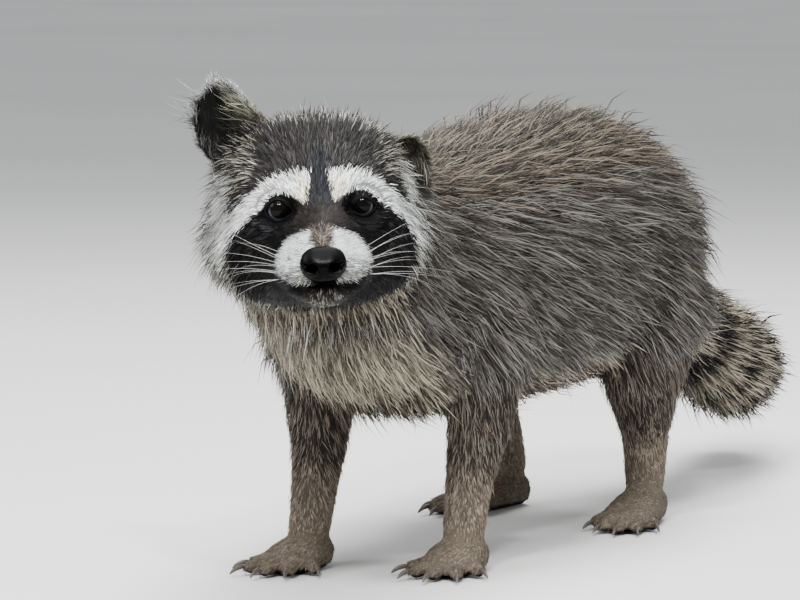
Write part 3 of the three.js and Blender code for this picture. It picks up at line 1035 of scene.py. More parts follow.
class SkinSizes(bpy.types.PropertyGroup):
    """Sizes of the skin under the coat."""

    grain: bpy.props.FloatProperty(
        name="Grain", description="Spacing of the skin's mesh", default=0.0016, unit="LENGTH"
    )
    swell: bpy.props.FloatProperty(
        name="Swell",
        description="How far each solid is swollen to join the next",
        default=0.0005,
        unit="LENGTH",
    )
    depth: bpy.props.FloatProperty(
        name="Depth of coat",
        description="Share of the coat's standing height by which the skin lies inside the outline",
        default=1.1,
    )
    triangles: bpy.props.IntProperty(
        name="Triangles", description="Triangles of the finished skin", default=165000
    )


# The most that the skin of an ear lies inside its solid, in millimetres.
EAR_DEPTH = 1.1


class RACCOON_OT_skin(bpy.types.Operator):
    """Make one skin from the nodes of flesh, inside them by the depth of the coat, with lids"""

    bl_idname = "raccoon.make_skin"
    bl_label = "Make skin and lids"

    def execute(self, context):
        sizes = context.scene.raccoon_skin
        whole, regions = joined_flesh(sizes.swell)
        tree = BVHTree.FromBMesh(whole)
        lump = bpy.data.meshes.new("flesh")
        whole.to_mesh(lump)
        whole.free()
        obj = show("flesh", lump, hide_material())
        remesh = obj.modifiers.new("remesh", "REMESH")
        remesh.mode = "VOXEL"
        remesh.voxel_size = sizes.grain
        mesh = finished_mesh(obj)
        bpy.data.objects.remove(obj)
        self.shape(mesh, tree, regions, sizes)
        mesh = self.detail(mesh, tree, regions, sizes)
        self.dress(mesh, tree, regions)
        return {"FINISHED"}

    def shape(self, mesh, tree, regions, sizes):
        """Evens out the solids' facets and sinks the skin by the depth of the coat."""
        ear = REGIONS.index("ear")
        points = places(mesh)
        faces = triangles(mesh)
        near = Neighbours(mesh)
        self.share = region_shares(points, tree, regions, near, 24)
        ease = {"head": 0.14, "ear": 0.05, "foreleg": 0.22, "hindleg": 0.25, "paw": 0.0, "tail": 0.5}
        soft = sum(self.share[:, i] * ease.get(r, 1.0) for i, r in enumerate(REGIONS))[:, None]
        for _ in range(110):
            points += 0.5 * soft * (near.mean(points) - points)
        normals = unit(near.smooth(normals_of(points, faces), 6))
        length, lift = coat_lie(points, normals, self.share)
        depth = sizes.depth * length * np.sin(np.radians(lift))
        depth = np.where(self.share[:, ear] > 0.5, np.minimum(depth, EAR_DEPTH), depth)
        depth = near.smooth(depth[:, None], 12)
        points -= normals * depth * MM
        points = self.trim_ears(points)
        for _ in range(8):
            points += 0.5 * np.minimum(soft * 3, 1) * (near.mean(points) - points)
        set_places(mesh, points)

    def trim_ears(self, points):
        """Draws the ears in towards their feet by the length of the hair on their rims."""
        local = HEAD.local(points)
        ear = EarSpots(local)
        much = self.share[:, REGIONS.index("ear")] * rise(0.05, 0.6, ear.t)
        local -= (much * 0.055 * EAR_LENGTH * ear.t)[:, None] * ear.up
        local -= (much * 0.06 * ear.reach)[:, None] * ear.inward
        return HEAD.world(local)

    def detail(self, mesh, tree, regions, sizes):
        """Thins the body, sets in the eyes, and carves the muzzle."""
        mesh = thinned_skin(mesh, self.share, sizes.triangles)
        bm = bmesh.new()
        bm.from_mesh(mesh)
        bmesh.ops.triangulate(bm, faces=bm.faces)
        fine = []
        for edge in bm.edges:
            middle = HEAD.local(np.array((edge.verts[0].co + edge.verts[1].co) / 2))
            if middle[1] < -8 and abs(middle[2] - mouth_height(middle[1])) < 3.5:
                fine.append(edge)
        bmesh.ops.subdivide_edges(bm, edges=fine, cuts=1, use_grid_fill=True)
        bmesh.ops.triangulate(bm, faces=bm.faces)
        bm.to_mesh(mesh)
        bm.free()
        points = places(mesh)
        faces = triangles(mesh)
        near = Neighbours(mesh)
        share = region_shares(points, tree, regions, near, 3)
        normals = unit(near.smooth(normals_of(points, faces), 2))
        head = share[:, 0] > 0.5
        move = np.where(head, carve_muzzle(HEAD.local(points)), 0)
        points += normals * (move * MM)[:, None]
        skin_tree = BVHTree.FromPolygons(points.tolist(), faces.tolist())
        sockets = [Socket(side, skin_tree) for side in (-1, 1)]
        for socket in sockets:
            points = np.where(head[:, None], socket.lower(points), points)
        set_places(mesh, points)
        bm = bmesh.new()
        for socket in sockets:
            socket.add_lids(bm)
        bmesh.ops.recalc_face_normals(bm, faces=bm.faces)
        bmesh.ops.triangulate(bm, faces=bm.faces)
        in_order(bm)
        bm.from_mesh(mesh)
        bm.to_mesh(mesh)
        bm.free()
        self.sockets = sockets
        return mesh

    def dress(self, mesh, tree, regions):
        """Colours the skin and keeps what the coat needs of it."""
        skin = show("skin", mesh, hide_material())
        unwrap(skin, "skin unwrap")
        near = Neighbours(mesh)
        share = region_shares(places(mesh), tree, regions, near, 24)
        ground = Ground(mesh, share)
        pelt = markings(ground.points, ground.normals, share, palette())
        colour = pelt[:, ROOT] * 0.45 + pelt[:, MIDDLE] * 0.35
        ground.bare = self.bare(ground)
        bare = ground.bare[:, None]
        colour = colour * (1 - bare) + np.array(BARE_HIDE) * bare
        paint(mesh, "hide colour", colour)
        Pelt.ground = ground
        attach(skin, BODY)
        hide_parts(*FLESH)

    def bare(self, ground):
        """Where no hair grows: the lids' rims, the soles, the lips and round the nose."""
        local = HEAD.local(ground.points)
        rim = np.zeros(len(local))
        for socket in self.sockets:
            turn, reach, height = socket.measure(ground.points)
            close = rise(1.2, 0.7, reach - socket.margin(turn)) * (height > 0)
            rim = np.maximum(rim, close)
        paw = ground.share[:, REGIONS.index("paw")] > 0.4
        sole = paw * rise(0.006, 0.003, ground.points[:, 2]) * rise(-0.2, -0.6, ground.normals[:, 2])
        nose = np.linalg.norm((local - (0, -55, -24.5)) / (12.0, 9.0, 9.6), axis=1)
        around = rise(1.06, 0.98, nose)
        slit = np.exp(-(((local[:, 2] - mouth_height(local[:, 1])) / 0.7) ** 2))
        slit *= rise(-9, -14, local[:, 1]) * (ground.share[:, 0] > 0.5)
        return np.clip(np.maximum.reduce([rim, sole, around, slit]), 0, 1)


# ---------------------------------------------------------------- eyes, nose, claws, whiskers


# Where the pupil, the iris and the bulge of the clear front fade out, in degrees from the way the
# eye looks. The bulge grows towards the middle.
PUPIL_EDGE = (17, 22)
IRIS_EDGE = (40, 47)
BULGE_EDGE = (48, 12)


class EyeSizes(bpy.types.PropertyGroup):
    """Shape and colours of the eyes."""

    bulge: bpy.props.FloatProperty(
        name="Bulge", description="How far the clear front stands proud, as a share", default=0.02
    )
    pupil: bpy.props.FloatVectorProperty(
        name="Pupil", description="Colour of the pupil", default=(0.002, 0.002, 0.002), subtype="COLOR"
    )
    iris: bpy.props.FloatVectorProperty(
        name="Iris", description="Colour of the iris", default=(0.0035, 0.0023, 0.0019), subtype="COLOR"
    )
    rim: bpy.props.FloatVectorProperty(
        name="Rim", description="Colour round the iris", default=(0.002, 0.002, 0.0022), subtype="COLOR"
    )
    # Painted reflection: a bluish grey crescent painted on each eyeball's low outer edge.
    wet: bpy.props.FloatVectorProperty(
        name="Wet edge",
        description="Colour of the low outer edge",
        default=(0.05, 0.062, 0.08),
        subtype="COLOR",
    )


class RACCOON_OT_eyes(bpy.types.Operator):
    """Make the two eyeballs, with the clear front standing a little proud"""

    bl_idname = "raccoon.make_eyes"
    bl_label = "Make eyes"

    def execute(self, context):
        sizes = context.scene.raccoon_eyes
        material, shader = painted_material("dark wet eye", "eye colour", 900, 0.3, (0.12, 0.2), 0)
        shader.inputs["Specular IOR Level"].default_value = 0.0
        shader.inputs["Coat Weight"].default_value = 0.28
        shader.inputs["Coat Roughness"].default_value = 0.01
        shader.inputs["Coat IOR"].default_value = 1.34
        for side, node in ((-1, "eye_right"), (1, "eye_left")):
            look = unit(HEAD.heading(np.array(EYE_AXIS) * (side * 0.3, 1, 0.6)))
            bm = bmesh.new()
            bmesh.ops.create_uvsphere(bm, u_segments=64, v_segments=48, radius=EYE_RADIUS * MM)
            bmesh.ops.rotate(
                bm,
                verts=bm.verts,
                cent=(0, 0, 0),
                matrix=Vector((0, 0, 1)).rotation_difference(Vector(look)).to_matrix(),
            )
            for vert in bm.verts:
                turn = math.degrees(vert.co.angle(Vector(look)))
                vert.co *= 1 + sizes.bulge * float(rise(*BULGE_EDGE, turn))
            bmesh.ops.translate(bm, verts=bm.verts, vec=centre_of(node))
            in_order(bm)
            mesh = mesh_from(bm, "eyeball")
            gap = unit(places(mesh) - np.array(centre_of(node)))
            turn = np.degrees(np.arccos(np.clip(gap @ look, -1, 1)))[:, None]
            pupil, iris, rim = (np.array(c) for c in (sizes.pupil, sizes.iris, sizes.rim))
            colour = pupil + (iris - pupil) * rise(*PUPIL_EDGE, turn)
            colour = colour + (rim - colour) * rise(*IRIS_EDGE, turn)
            beside, above = gap @ HEAD.turn[0] * side, gap @ HEAD.turn[2]
            # The bluish grey crescent at the low outer edge is a painted reflection, not the eye's own
            # colour.
            low = rise(0.1, 0.5, 0.6 * beside - 0.8 * above)[:, None]
            wet = low * rise(30, 34, turn) * rise(42, 38, turn)
            colour = colour + (np.array(sizes.wet) - colour) * 0.8 * wet
            paint(mesh, "eye colour", colour)
            eye = show("eyeball_" + node.split("_")[1], mesh, material)
            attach(eye, BODY)
            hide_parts(node)
        return {"FINISHED"}


# The pad's front is black. Its top is painted a little lighter: partly its drier own colour, partly
# painted light from above.
NOSE_WET = (0.0006, 0.0006, 0.0006)
NOSE_TOP_DRY_AND_LIT = (0.004, 0.004, 0.0043)
# How far the pad is set back into the muzzle, in millimetres.
NOSE_BACK = 2.5


class NoseSizes(bpy.types.PropertyGroup):
    """Shape of the nose pad, in metres."""

    nostril: bpy.props.FloatProperty(
        name="Nostril depth", description="Depth of the nostrils", default=0.006, unit="LENGTH"
    )
    groove: bpy.props.FloatProperty(
        name="Groove depth", description="Depth of the middle groove", default=0.0007, unit="LENGTH"
    )


def nose_shape(ball, half):
    """Places of the nose pad from places on a ball: square shouldered above, narrow below."""
    x, y, z = ball.T
    power = line(z, (-0.6, 2.7), (0.3, 3.0))
    round_ = np.hypot(x, z)
    square = (np.abs(x) ** power + np.abs(z) ** power) ** (1 / power)
    puff = np.where(round_ > 1e-6, round_ / np.maximum(square, 1e-6), 1.0)
    x, z = x * puff, z * puff
    width = line(z, (-1, 0.74), (-0.6, 0.90), (-0.15, 1.0), (0.1, 1.0), (0.6, 0.95), (1, 0.86))
    ahead = np.where(y < 0, -(np.abs(y) ** 0.72), y)
    stem = np.where(y > 0, (1 - 0.1 * y) / np.sqrt(np.maximum(1 - y * y, 0.2)), 1.0)
    x, z = x * stem, z * stem
    lean = 0.40 * rise(-0.2, 1.0, z) * (y < 0)
    return np.stack((x * width, ahead * (1 - lean), z), 1) * half


class RACCOON_OT_nose(bpy.types.Operator):
    """Make the nose pad, with its nostrils, middle groove and flat pebbled top"""

    bl_idname = "raccoon.make_nose"
    bl_label = "Make nose"

    def execute(self, context):
        sizes = context.scene.raccoon_nose
        points = HEAD.local(node_points("nose"))
        low, high = points.min(0), points.max(0)
        half, middle = (high - low) / 2, (high + low) / 2 + (0, NOSE_BACK, 0)
        bm = bmesh.new()
        bmesh.ops.create_icosphere(bm, subdivisions=6, radius=1)
        ball = np.array([v.co for v in bm.verts])
        shape = nose_shape(ball, half)
        x, z = np.abs(shape[:, 0]) / half[0], shape[:, 2] / half[2]
        front = rise(0.1, -0.35, ball[:, 1])
        gap = np.stack((x - 0.47, z + 0.14), 1) / 0.25
        reach = np.linalg.norm(gap, axis=1)
        hole = rise(1.2, 0.1, reach)
        slit = np.exp(-(((z + 0.04 - 0.7 * (x - 0.62)) / 0.055) ** 2)) * rise(0.55, 0.66, x)
        slit *= rise(0.95, 0.8, x)
        wing = np.exp(-(((reach - 1.5) / 0.25) ** 2)) * rise(0.0, 0.7, unit(gap) @ (0.45, -0.9))
        groove = np.exp(-((x / 0.04) ** 2)) * rise(0.1, -0.4, z)
        shape[:, 1] += front * np.maximum(hole, 0.3 * slit) * sizes.nostril / MM
        shape[:, 1] += front * groove * sizes.groove / MM
        shape[:, 1] -= front * wing
        for vert, place in zip(bm.verts, HEAD.world(shape + middle), strict=True):
            vert.co = Vector(place)
        mesh = mesh_from(bm, "nose")
        local = HEAD.local(places(mesh)) - middle
        # Partly painted light: the top of the pad is lighter, where light from above falls.
        dry_and_lit_top = rise(0.25, 0.6, local[:, 2] / half[2])[:, None]
        # Painted shade: the nostrils and slits are darkened almost to black, as shade deep in the pits.
        painted_nostril_shade = np.maximum(hole, slit)[:, None] * front[:, None]
        colour = np.array(NOSE_WET) * (1 - dry_and_lit_top) + np.array(NOSE_TOP_DRY_AND_LIT) * dry_and_lit_top
        colour = colour * (1 - 0.95 * painted_nostril_shade)
        paint(mesh, "nose colour", colour)
        nose = show("nose_pad", mesh, self.material())
        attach(nose, BODY)
        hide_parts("nose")
        return {"FINISHED"}

    @staticmethod
    def material():
        """Wet leather with fine pebbling."""
        material, tree, shader = new_material("wet nose leather")
        colour = tree.nodes.new("ShaderNodeAttribute")
        colour.attribute_name = "nose colour"
        grained(tree, colour.outputs["Color"], 1600, 0.5, (0.18, 0.28), shader, 0)
        shader.inputs["Specular IOR Level"].default_value = 0.04
        place = tree.nodes.new("ShaderNodeTexCoord")
        cells = tree.nodes.new("ShaderNodeTexVoronoi")
        cells.inputs["Scale"].default_value = 1300
        tree.links.new(place.outputs["Object"], cells.inputs["Vector"])
        relief = tree.nodes.new("ShaderNodeBump")
        relief.inputs["Distance"].default_value = 0.0002
        relief.inputs["Strength"].default_value = 0.22
        tree.links.new(cells.outputs["Distance"], relief.inputs["Height"])
        tree.links.new(relief.outputs["Normal"], shader.inputs["Normal"])
        return material


CLAW_HORN = (0.075, 0.06, 0.05)
# How far a claw's root is lengthened back into its toe, in metres.
CLAW_ROOT = 0.003


class RACCOON_OT_claws(bpy.types.Operator):
    """Make the claws, rounded from their solids"""

    bl_idname = "raccoon.make_claws"
    bl_label = "Make claws"

    def execute(self, context):
        bm = bmesh.new()
        for node in CLAWS:
            before = len(bm.verts)
            bm.from_mesh(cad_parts[node].data)
            bm.verts.ensure_lookup_table()
            self.set_in(bm.verts[before:])
        bmesh.ops.remove_doubles(bm, verts=bm.verts, dist=1e-5)
        mesh = mesh_from(bm, "claws")
        material = plain_material("dark claw horn", CLAW_HORN, 1200, 0.6, (0.25, 0.4), 0.0001)
        claws = show("claws", mesh, material)
        smooth = claws.modifiers.new("smooth", "SUBSURF")
        smooth.levels = smooth.render_levels = 2
        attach(claws, BODY)
        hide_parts(*CLAWS)
        return {"FINISHED"}

    @staticmethod
    def set_in(verts):
        """Lengthens a claw's root back into its toe."""
        tip = min(verts, key=lambda v: v.co.z).co.copy()
        root = sum((v.co for v in verts), Vector()) / len(verts)
        way = (root - tip) * Vector((1, 1, 0))
        way.normalize()
        reach = [(v.co - tip).dot(way) for v in verts]
        for vert, along in zip(verts, reach, strict=True):
            vert.co += way * CLAW_ROOT * float(rise(0.6, 0.9, along / max(reach)))


WHISKER_WHITE = (0.62, 0.61, 0.57)
WHISKER_ROWS = 4
WHISKER_COLUMNS = 3
# How deep a whisker's root lies in the skin, in metres, and the share of its thickness that it
# loses to its tip.
WHISKER_ROOT = 0.0015
WHISKER_TAPER = 0.82


class WhiskerSizes(bpy.types.PropertyGroup):
    """Sizes of the whiskers."""

    thick: bpy.props.FloatProperty(
        name="Thickness", description="Thickness at the root", default=0.00016, unit="LENGTH"
    )
    longest: bpy.props.FloatProperty(
        name="Length", description="Length of the longest whisker", default=0.064, unit="LENGTH"
    )
    seed: bpy.props.IntProperty(name="Seed", description="Order of the small differences", default=7)


class RACCOON_OT_whiskers(bpy.types.Operator):
    """Make the whiskers on both sides of the muzzle"""

    bl_idname = "raccoon.make_whiskers"
    bl_label = "Make whiskers"

    def execute(self, context):
        sizes = context.scene.raccoon_whiskers
        chance = np.random.default_rng(sizes.seed)
        ground = Pelt.ground
        tree = BVHTree.FromPolygons(ground.points.tolist(), ground.faces.tolist())
        bm = bmesh.new()
        for side in (-1, 1):
            for row, column in np.ndindex(WHISKER_ROWS, WHISKER_COLUMNS):
                place = np.array((0, -48 + 6.0 * column + row, -22.5 - 3.6 * row - 0.9 * column))
                start = HEAD.world(place + (side * 60, 0, 0))
                hit = tree.ray_cast(Vector(start), Vector(HEAD.heading((-side, 0, 0))), 0.1)[0]
                if hit is None:
                    continue
                fan = 0.50 - 0.17 * row + 0.09 * chance.normal()
                sweep = 0.30 + 0.18 * column + 0.1 * chance.normal()
                way = unit(HEAD.heading((side * 0.9, sweep, fan)))
                bend = HEAD.heading((-side * 0.16, 0.34, -0.1 - 0.26 * chance.random()))
                length = sizes.longest * (0.6 + 0.4 * chance.random())
                self.add(bm, np.array(hit), way, bend, length, sizes.thick)
        in_order(bm)
        mesh = mesh_from(bm, "whiskers")
        material = plain_material("white whisker", WHISKER_WHITE, 400, 0.2, (0.3, 0.45), 0)
        whiskers = show("whiskers", mesh, material)
        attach(whiskers, BODY)
        return {"FINISHED"}

    @staticmethod
    def add(bm, root, way, bend, length, thick, steps=12):
        """One whisker: a ring at the root, drawn out step by step to a fine tip."""
        turn = Vector((0, 0, 1)).rotation_difference(Vector(way)).to_matrix().to_4x4()
        new = bmesh.ops.create_circle(bm, cap_ends=True, segments=5, radius=thick / 2)["verts"]
        bmesh.ops.transform(bm, matrix=turn, verts=new)
        before = root - way * WHISKER_ROOT
        bmesh.ops.translate(bm, verts=new, vec=Vector(before))
        edges = {e for v in new for e in v.link_edges if all(o in new for o in e.verts)}
        for step in range(1, steps + 1):
            t = step / steps
            here = root + (way * t + bend * t * t) * length
            made = bmesh.ops.extrude_edge_only(bm, edges=list(edges))["geom"]
            fresh = [v for v in made if isinstance(v, bmesh.types.BMVert)]
            edges = {e for e in made if isinstance(e, bmesh.types.BMEdge) and set(e.verts) <= set(fresh)}
            bmesh.ops.translate(bm, verts=fresh, vec=Vector(here - before))
            shrink = (1 - WHISKER_TAPER * t) / (1 - WHISKER_TAPER * (step - 1) / steps)
            for vert in fresh:
                vert.co = Vector(here) + (vert.co - Vector(here)) * shrink
            before = here
        bmesh.ops.contextual_create(bm, geom=list(edges))


# ---------------------------------------------------------------- the coat

# A short hair is a spike: three points round its root and one at its tip. A tuft is a spindle:
# one point at its root, three round its thickest part, and one at its tip.
SPIKE_FACES = np.array(((0, 2, 1), (0, 1, 3), (1, 2, 3), (2, 0, 3)))
SPIKE_PATCH = np.array(((0, 0), (1, 0), (0.5, 0), (0.5, 1)))
TUFT_FACES = np.array(((2, 1, 0), (3, 2, 0), (1, 3, 0), (1, 2, 4), (2, 3, 4), (3, 1, 4)))
TUFT_PATCH_AT = np.array(((0.5, 0), (0, 0.5), (1, 0.5), (0.5, 0.5), (0.5, 1)))
# The root of a tuft lies deeper in the skin than that of a short hair. No hair comes nearer to the
# floor than the gap. All in metres.
TUFT_ROOT = 0.0006
SPIKE_ROOT = 0.0002
FLOOR_GAP = 0.0006
# The side of a small lock, in metres, whose hairs share a chance value.
LOCK_SIZE = 0.0015
# How much tufts differ in length, lift and width, and how far along its length a tuft is thickest.
LENGTH_SPREAD = 0.14
LIFT_SPREAD = 0.22
WIDTH_SPREAD = 0.18
THICKEST = 0.45
# Strays are longer, and stand steeper by a share and by degrees.
STRAY_LENGTH = 1.25
STRAY_LIFT = 1.35
STRAY_STAND = 4
# A few hairs on an ear's rim are longer by this many millimetres.
RIM_STRAY = 13.0
RIM_SEED = 3


def scatter(ground, density, count, chance):
    """Roots of tufts spread over the skin: face, share of each corner, and the fields there."""
    weight = np.cumsum(ground.area * density)
    picks = (np.arange(count) + chance.random(count)) / count * weight[-1]
    face = np.minimum(np.searchsorted(weight, picks), len(weight) - 1)
    a, b = np.sqrt(chance.random(count)), chance.random(count)
    corner = np.stack((1 - a, a * (1 - b), a * b), 1)
    index = ground.faces[face]

    def blend(values):
        return (values[index] * corner[:, :, None]).sum(1)

    return {
        "place": blend(ground.points),
        "normal": unit(blend(ground.normals)),
        "flow": blend(ground.flow),
        "share": blend(ground.share),
        "length": blend(ground.length[:, None])[:, 0],
        "lift": blend(ground.lift[:, None])[:, 0],
        "unwrap": (ground.unwrap[face] * corner[:, :, None]).sum(1),
    }


def clumped(place, tip, every, pull, chance):
    """Tips drawn towards the tip of the nearest of a few leading tufts."""
    lead = chance.choice(len(place), max(len(place) // every, 1), replace=False)
    tree = kdtree.KDTree(len(lead))
    for order, index in enumerate(lead):
        tree.insert(place[index], order)
    tree.balance()
    owner = lead[[tree.find(p)[1] for p in place]]
    return tip + (tip[owner] - tip) * pull[:, None]


def tuft_mesh(name, points, faces, colours, patch, unwrap_at, normal):
    """One mesh of many tufts, from the points, colours, places on the map and lit side of each."""
    count, per = points.shape[:2]
    points[:, :, 2] = np.maximum(points[:, :, 2], FLOOR_GAP)
    corners = (np.arange(count)[:, None, None] * per + faces[None]).reshape(-1)
    mesh = bpy.data.meshes.new(name)
    mesh.vertices.add(count * per)
    mesh.vertices.foreach_set("co", points.astype(np.float32).ravel())
    mesh.loops.add(len(corners))
    mesh.loops.foreach_set("vertex_index", corners.astype(np.int32))
    mesh.polygons.add(len(corners) // 3)
    mesh.polygons.foreach_set("loop_start", np.arange(0, len(corners), 3, dtype=np.int32))
    mesh.update(calc_edges=True)
    paint(mesh, "hair colour", colours.reshape(-1, 3))
    flat = (unwrap_at[:, None] + patch[None] * TUFT_PATCH)[:, faces].reshape(-1, 2)
    layer = mesh.uv_layers.new(name=BAKE_MAP)
    layer.data.foreach_set("uv", flat.astype(np.float32).ravel())
    own = normals_of(places(mesh), corners.reshape(-1, 3)).reshape(count, per, 3)
    soft = unit(own * 0.45 + normal[:, None])
    mesh.polygons.foreach_set("use_smooth", np.ones(len(mesh.polygons), bool))
    mesh.normals_split_custom_set_from_vertices(soft.reshape(-1, 3))
    return mesh


def mottle(points):
    """A slow drift between darker and lighter over the coat, from -1 to 1, by two crossing waves."""
    a = points @ np.array((190.0, 95.0, 130.0))
    b = points @ np.array((-85.0, 160.0, 210.0))
    return np.sin(a + 1.7 * np.sin(b)) * np.cos(0.63 * b - 0.8 * a)


def lock(points):
    """A chance value from -0.5 to 0.5 shared by the hairs of one small lock."""
    cells = np.floor(points / LOCK_SIZE) @ np.array((12.99, 78.23, 37.72))
    return (np.sin(cells) * 4375.85) % 1 - 0.5


def hair_colours(root, way, chance, long, spread, seen_at):
    """Colours of each tuft from root to tip, from the markings at a share of its length."""
    seen = root["place"] + way * (seen_at * root["length"] * MM)[:, None]
    drift = np.clip(chance.normal(0, 1, seen.shape), -1.7, 1.7)
    seen += drift * ((0.12 * root["length"] + 0.3) * MM)[:, None]
    shared = lock(root["place"]) + 0.5
    pick = np.where(chance.random(len(seen)) < 0.3, shared, chance.random(len(seen)))
    pelt = markings(seen, root["normal"], root["share"], palette(), pick)
    luck = np.where(chance.random(len(pelt)) < 0.45, 1 - shared, chance.random(len(pelt)))
    light = luck < pelt[:, LIGHT_SHARE]
    tip = np.where(light[:, None], pelt[:, LIGHT], pelt[:, DARK])
    middle = pelt[:, MIDDLE] * (0.66 + 0.34 * light[:, None])
    # Each tuft darkens towards its root: partly the hair's own dark base, partly painted shade deep in
    # the coat.
    if long:
        rows = [pelt[:, ROOT]] + [0.75 * middle + 0.25 * tip] * 3 + [tip]
    else:
        rows = [0.5 * middle + 0.25 * pelt[:, ROOT]] * 3 + [0.4 * middle + 0.6 * tip]
    value = chance.normal(0, spread, len(pelt)) + 0.13 * mottle(root["place"])
    value = np.exp(value + 1.5 * spread * lock(root["place"]))[:, None]
    return np.clip(np.stack([r * value for r in rows], 1), 0, 1)


def grow(
    name,
    count,
    density,
    *,
    slot,
    long,
    width,
    seed,
    jitter=9.0,
    curl=1.0,
    clump=0,
    stray=0.0,
    spread=0.2,
    seen_at=0.45,
    steer=None,
):
    """Grows one piece of the coat: tufts, or short hairs, over the skin where density says.

    The width is in millimetres and the jitter, which turns hairs off the lie, in degrees. Curl
    bends a tuft down, clump draws about that many tips together, and stray is the share of hairs
    that stand out. Spread is how much hairs differ in lightness, seen_at is how far along them
    the markings are read, and steer changes the roots first.
    """
    ground = Pelt.ground
    chance = np.random.default_rng(seed)
    root = scatter(ground, density * (1 - ground.bare[ground.faces].mean(1)), count, chance)
    if steer:
        steer(root)
    normal = root["normal"]
    flow = unit(root["flow"] - normal * (root["flow"] * normal).sum(1, keepdims=True))
    side = np.cross(normal, flow)
    turn = np.radians(chance.normal(0, jitter, count))[:, None]
    flow = flow * np.cos(turn) + side * np.sin(turn)
    side = np.cross(normal, flow)
    length = root["length"] * np.exp(chance.normal(0, LENGTH_SPREAD, count))
    lift = root["lift"] * np.exp(chance.normal(0, LIFT_SPREAD, count))
    wild = chance.random(count) < stray
    length = (np.where(wild, length * STRAY_LENGTH, length) * MM)[:, None]
    lift = np.radians(np.where(wild, lift * STRAY_LIFT + STRAY_STAND, lift))[:, None]
    wide = width * MM * np.exp(chance.normal(0, WIDTH_SPREAD, count))[:, None]
    ring = np.stack((-side * 0.5, side * 0.5, normal * 0.4), 1) * wide[:, None]
    if long:
        start = root["place"] - normal * TUFT_ROOT
        first = flow * np.cos(lift * 1.35) + normal * np.sin(lift * 1.35)
        ahead = lift * (1 - 0.55 * curl)
        then = flow * np.cos(ahead) + normal * np.sin(ahead)
        middle = start + first * length * THICKEST
        tip = middle + then * length * (1 - THICKEST)
        if clump:
            pull = np.clip(chance.normal(0.34, 0.15, count), 0, 0.7)
            tip = clumped(root["place"], tip, clump, pull, chance)
        points = np.concatenate((start[:, None], middle[:, None] + ring, tip[:, None]), 1)
        faces, patch = TUFT_FACES, TUFT_PATCH_AT
    else:
        start = root["place"] - normal * SPIKE_ROOT
        tip = start + (flow * np.cos(lift) + normal * np.sin(lift)) * length
        points = np.concatenate((start[:, None] + ring, tip[:, None]), 1)
        faces, patch = SPIKE_FACES, SPIKE_PATCH
    colours = hair_colours(root, flow, chance, long, spread, seen_at)
    lit = root.get("lit", normal)
    mesh = tuft_mesh(name, points, faces, colours, patch, root["unwrap"], lit)
    piece = show(name, mesh, hair_material())
    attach(piece, BODY)
    return piece


def ear_light(root):
    """Lets the hair near an ear's edges take the light as hair that stands out from the ear."""
    ear = EarSpots(HEAD.local(root["place"]))
    share = ear.share()
    out = HEAD.heading(unit(ear.inward * share[:, None] + ear.up * (0.4 + ear.t[:, None])))
    much = np.maximum(rise(0.55, 0.95, np.abs(share)), rise(0.7, 0.85, ear.t))
    root["lit"] = unit(root["normal"] * (1 - 0.85 * much[:, None]) + 1.2 * much[:, None] * out)


def fringe(root):
    """Turns the hair of an ear's rim outward and up, longest at the tip and the outer edge."""
    ear_light(root)
    ear = EarSpots(HEAD.local(root["place"]))
    share = ear.share()
    outer = rise(-0.5, -0.8, share)
    lean = np.where(share > 0, 0.9, 0.45) + 0.4 * ear.t
    root["flow"] = HEAD.heading(unit(ear.inward * share[:, None] + ear.up * lean[:, None]))
    tuft = outer * rise(0.36, 0.52, ear.t) * rise(0.84, 0.7, ear.t)
    root["length"] = 3.2 + 4.2 * tuft + 1.2 * rise(0.7, 0.82, ear.t)
    far = np.random.default_rng(RIM_SEED).random(len(ear.t)) < 0.014 * tuft
    root["length"] += RIM_STRAY * far
    root["lift"] = np.full(len(ear.t), 10.0)


def ear_feathers(root):
    """Lays long hair from the inner edge of an ear across its hollow."""
    ear = EarSpots(HEAD.local(root["place"]))
    root["flow"] = HEAD.heading(unit(-0.85 * ear.inward + 0.6 * ear.up))
    root["length"] = 9.0 + 8.0 * rise(0.8, 0.3, ear.t)
    root["lift"] = np.full(len(ear.t), 13.0)


def tufts(name, where, count):
    """A setting for the number of tufts in a piece of the coat."""
    return bpy.props.IntProperty(name=name, description="How many there are " + where, default=count)


class CoatSizes(bpy.types.PropertyGroup):
    """How many hairs or tufts each piece of the coat has, and how wide they are, in millimetres."""

    muzzle: tufts("Muzzle hairs", "on the muzzle", 32000)
    mask: tufts("Mask tufts", "round the eyes", 32500)
    crown: tufts("Crown tufts", "on crown and ruff", 32500)
    ears: tufts("Ear hairs", "on the ears", 17000)
    ear_rims: tufts("Rim tufts", "on the rims of the ears", 8000)
    ear_feathers: tufts("Ear feathers", "across the hollows of the ears", 240)
    neck: tufts("Neck tufts", "on the neck", 21500)
    flank: tufts("Flank tufts", "on each side", 29500)
    legs: tufts("Leg tufts", "on the legs", 26500)
    paws: tufts("Paw hairs", "on the paws", 22000)
    tail: tufts("Tail tufts", "on the tail", 20000)
    face_width: bpy.props.FloatProperty(
        name="Face width", description="Width of the hairs on the face", default=0.6
    )
    body_width: bpy.props.FloatProperty(
        name="Body width", description="Width of the tufts on the body", default=0.85
    )
    seed: bpy.props.IntProperty(name="Seed", description="Order of the small differences", default=11)


def shade(name, colour):
    """A setting for one of the coat's colours."""
    return bpy.props.FloatVectorProperty(
        name=name, description=name + " of the coat", default=colour, subtype="COLOR"
    )


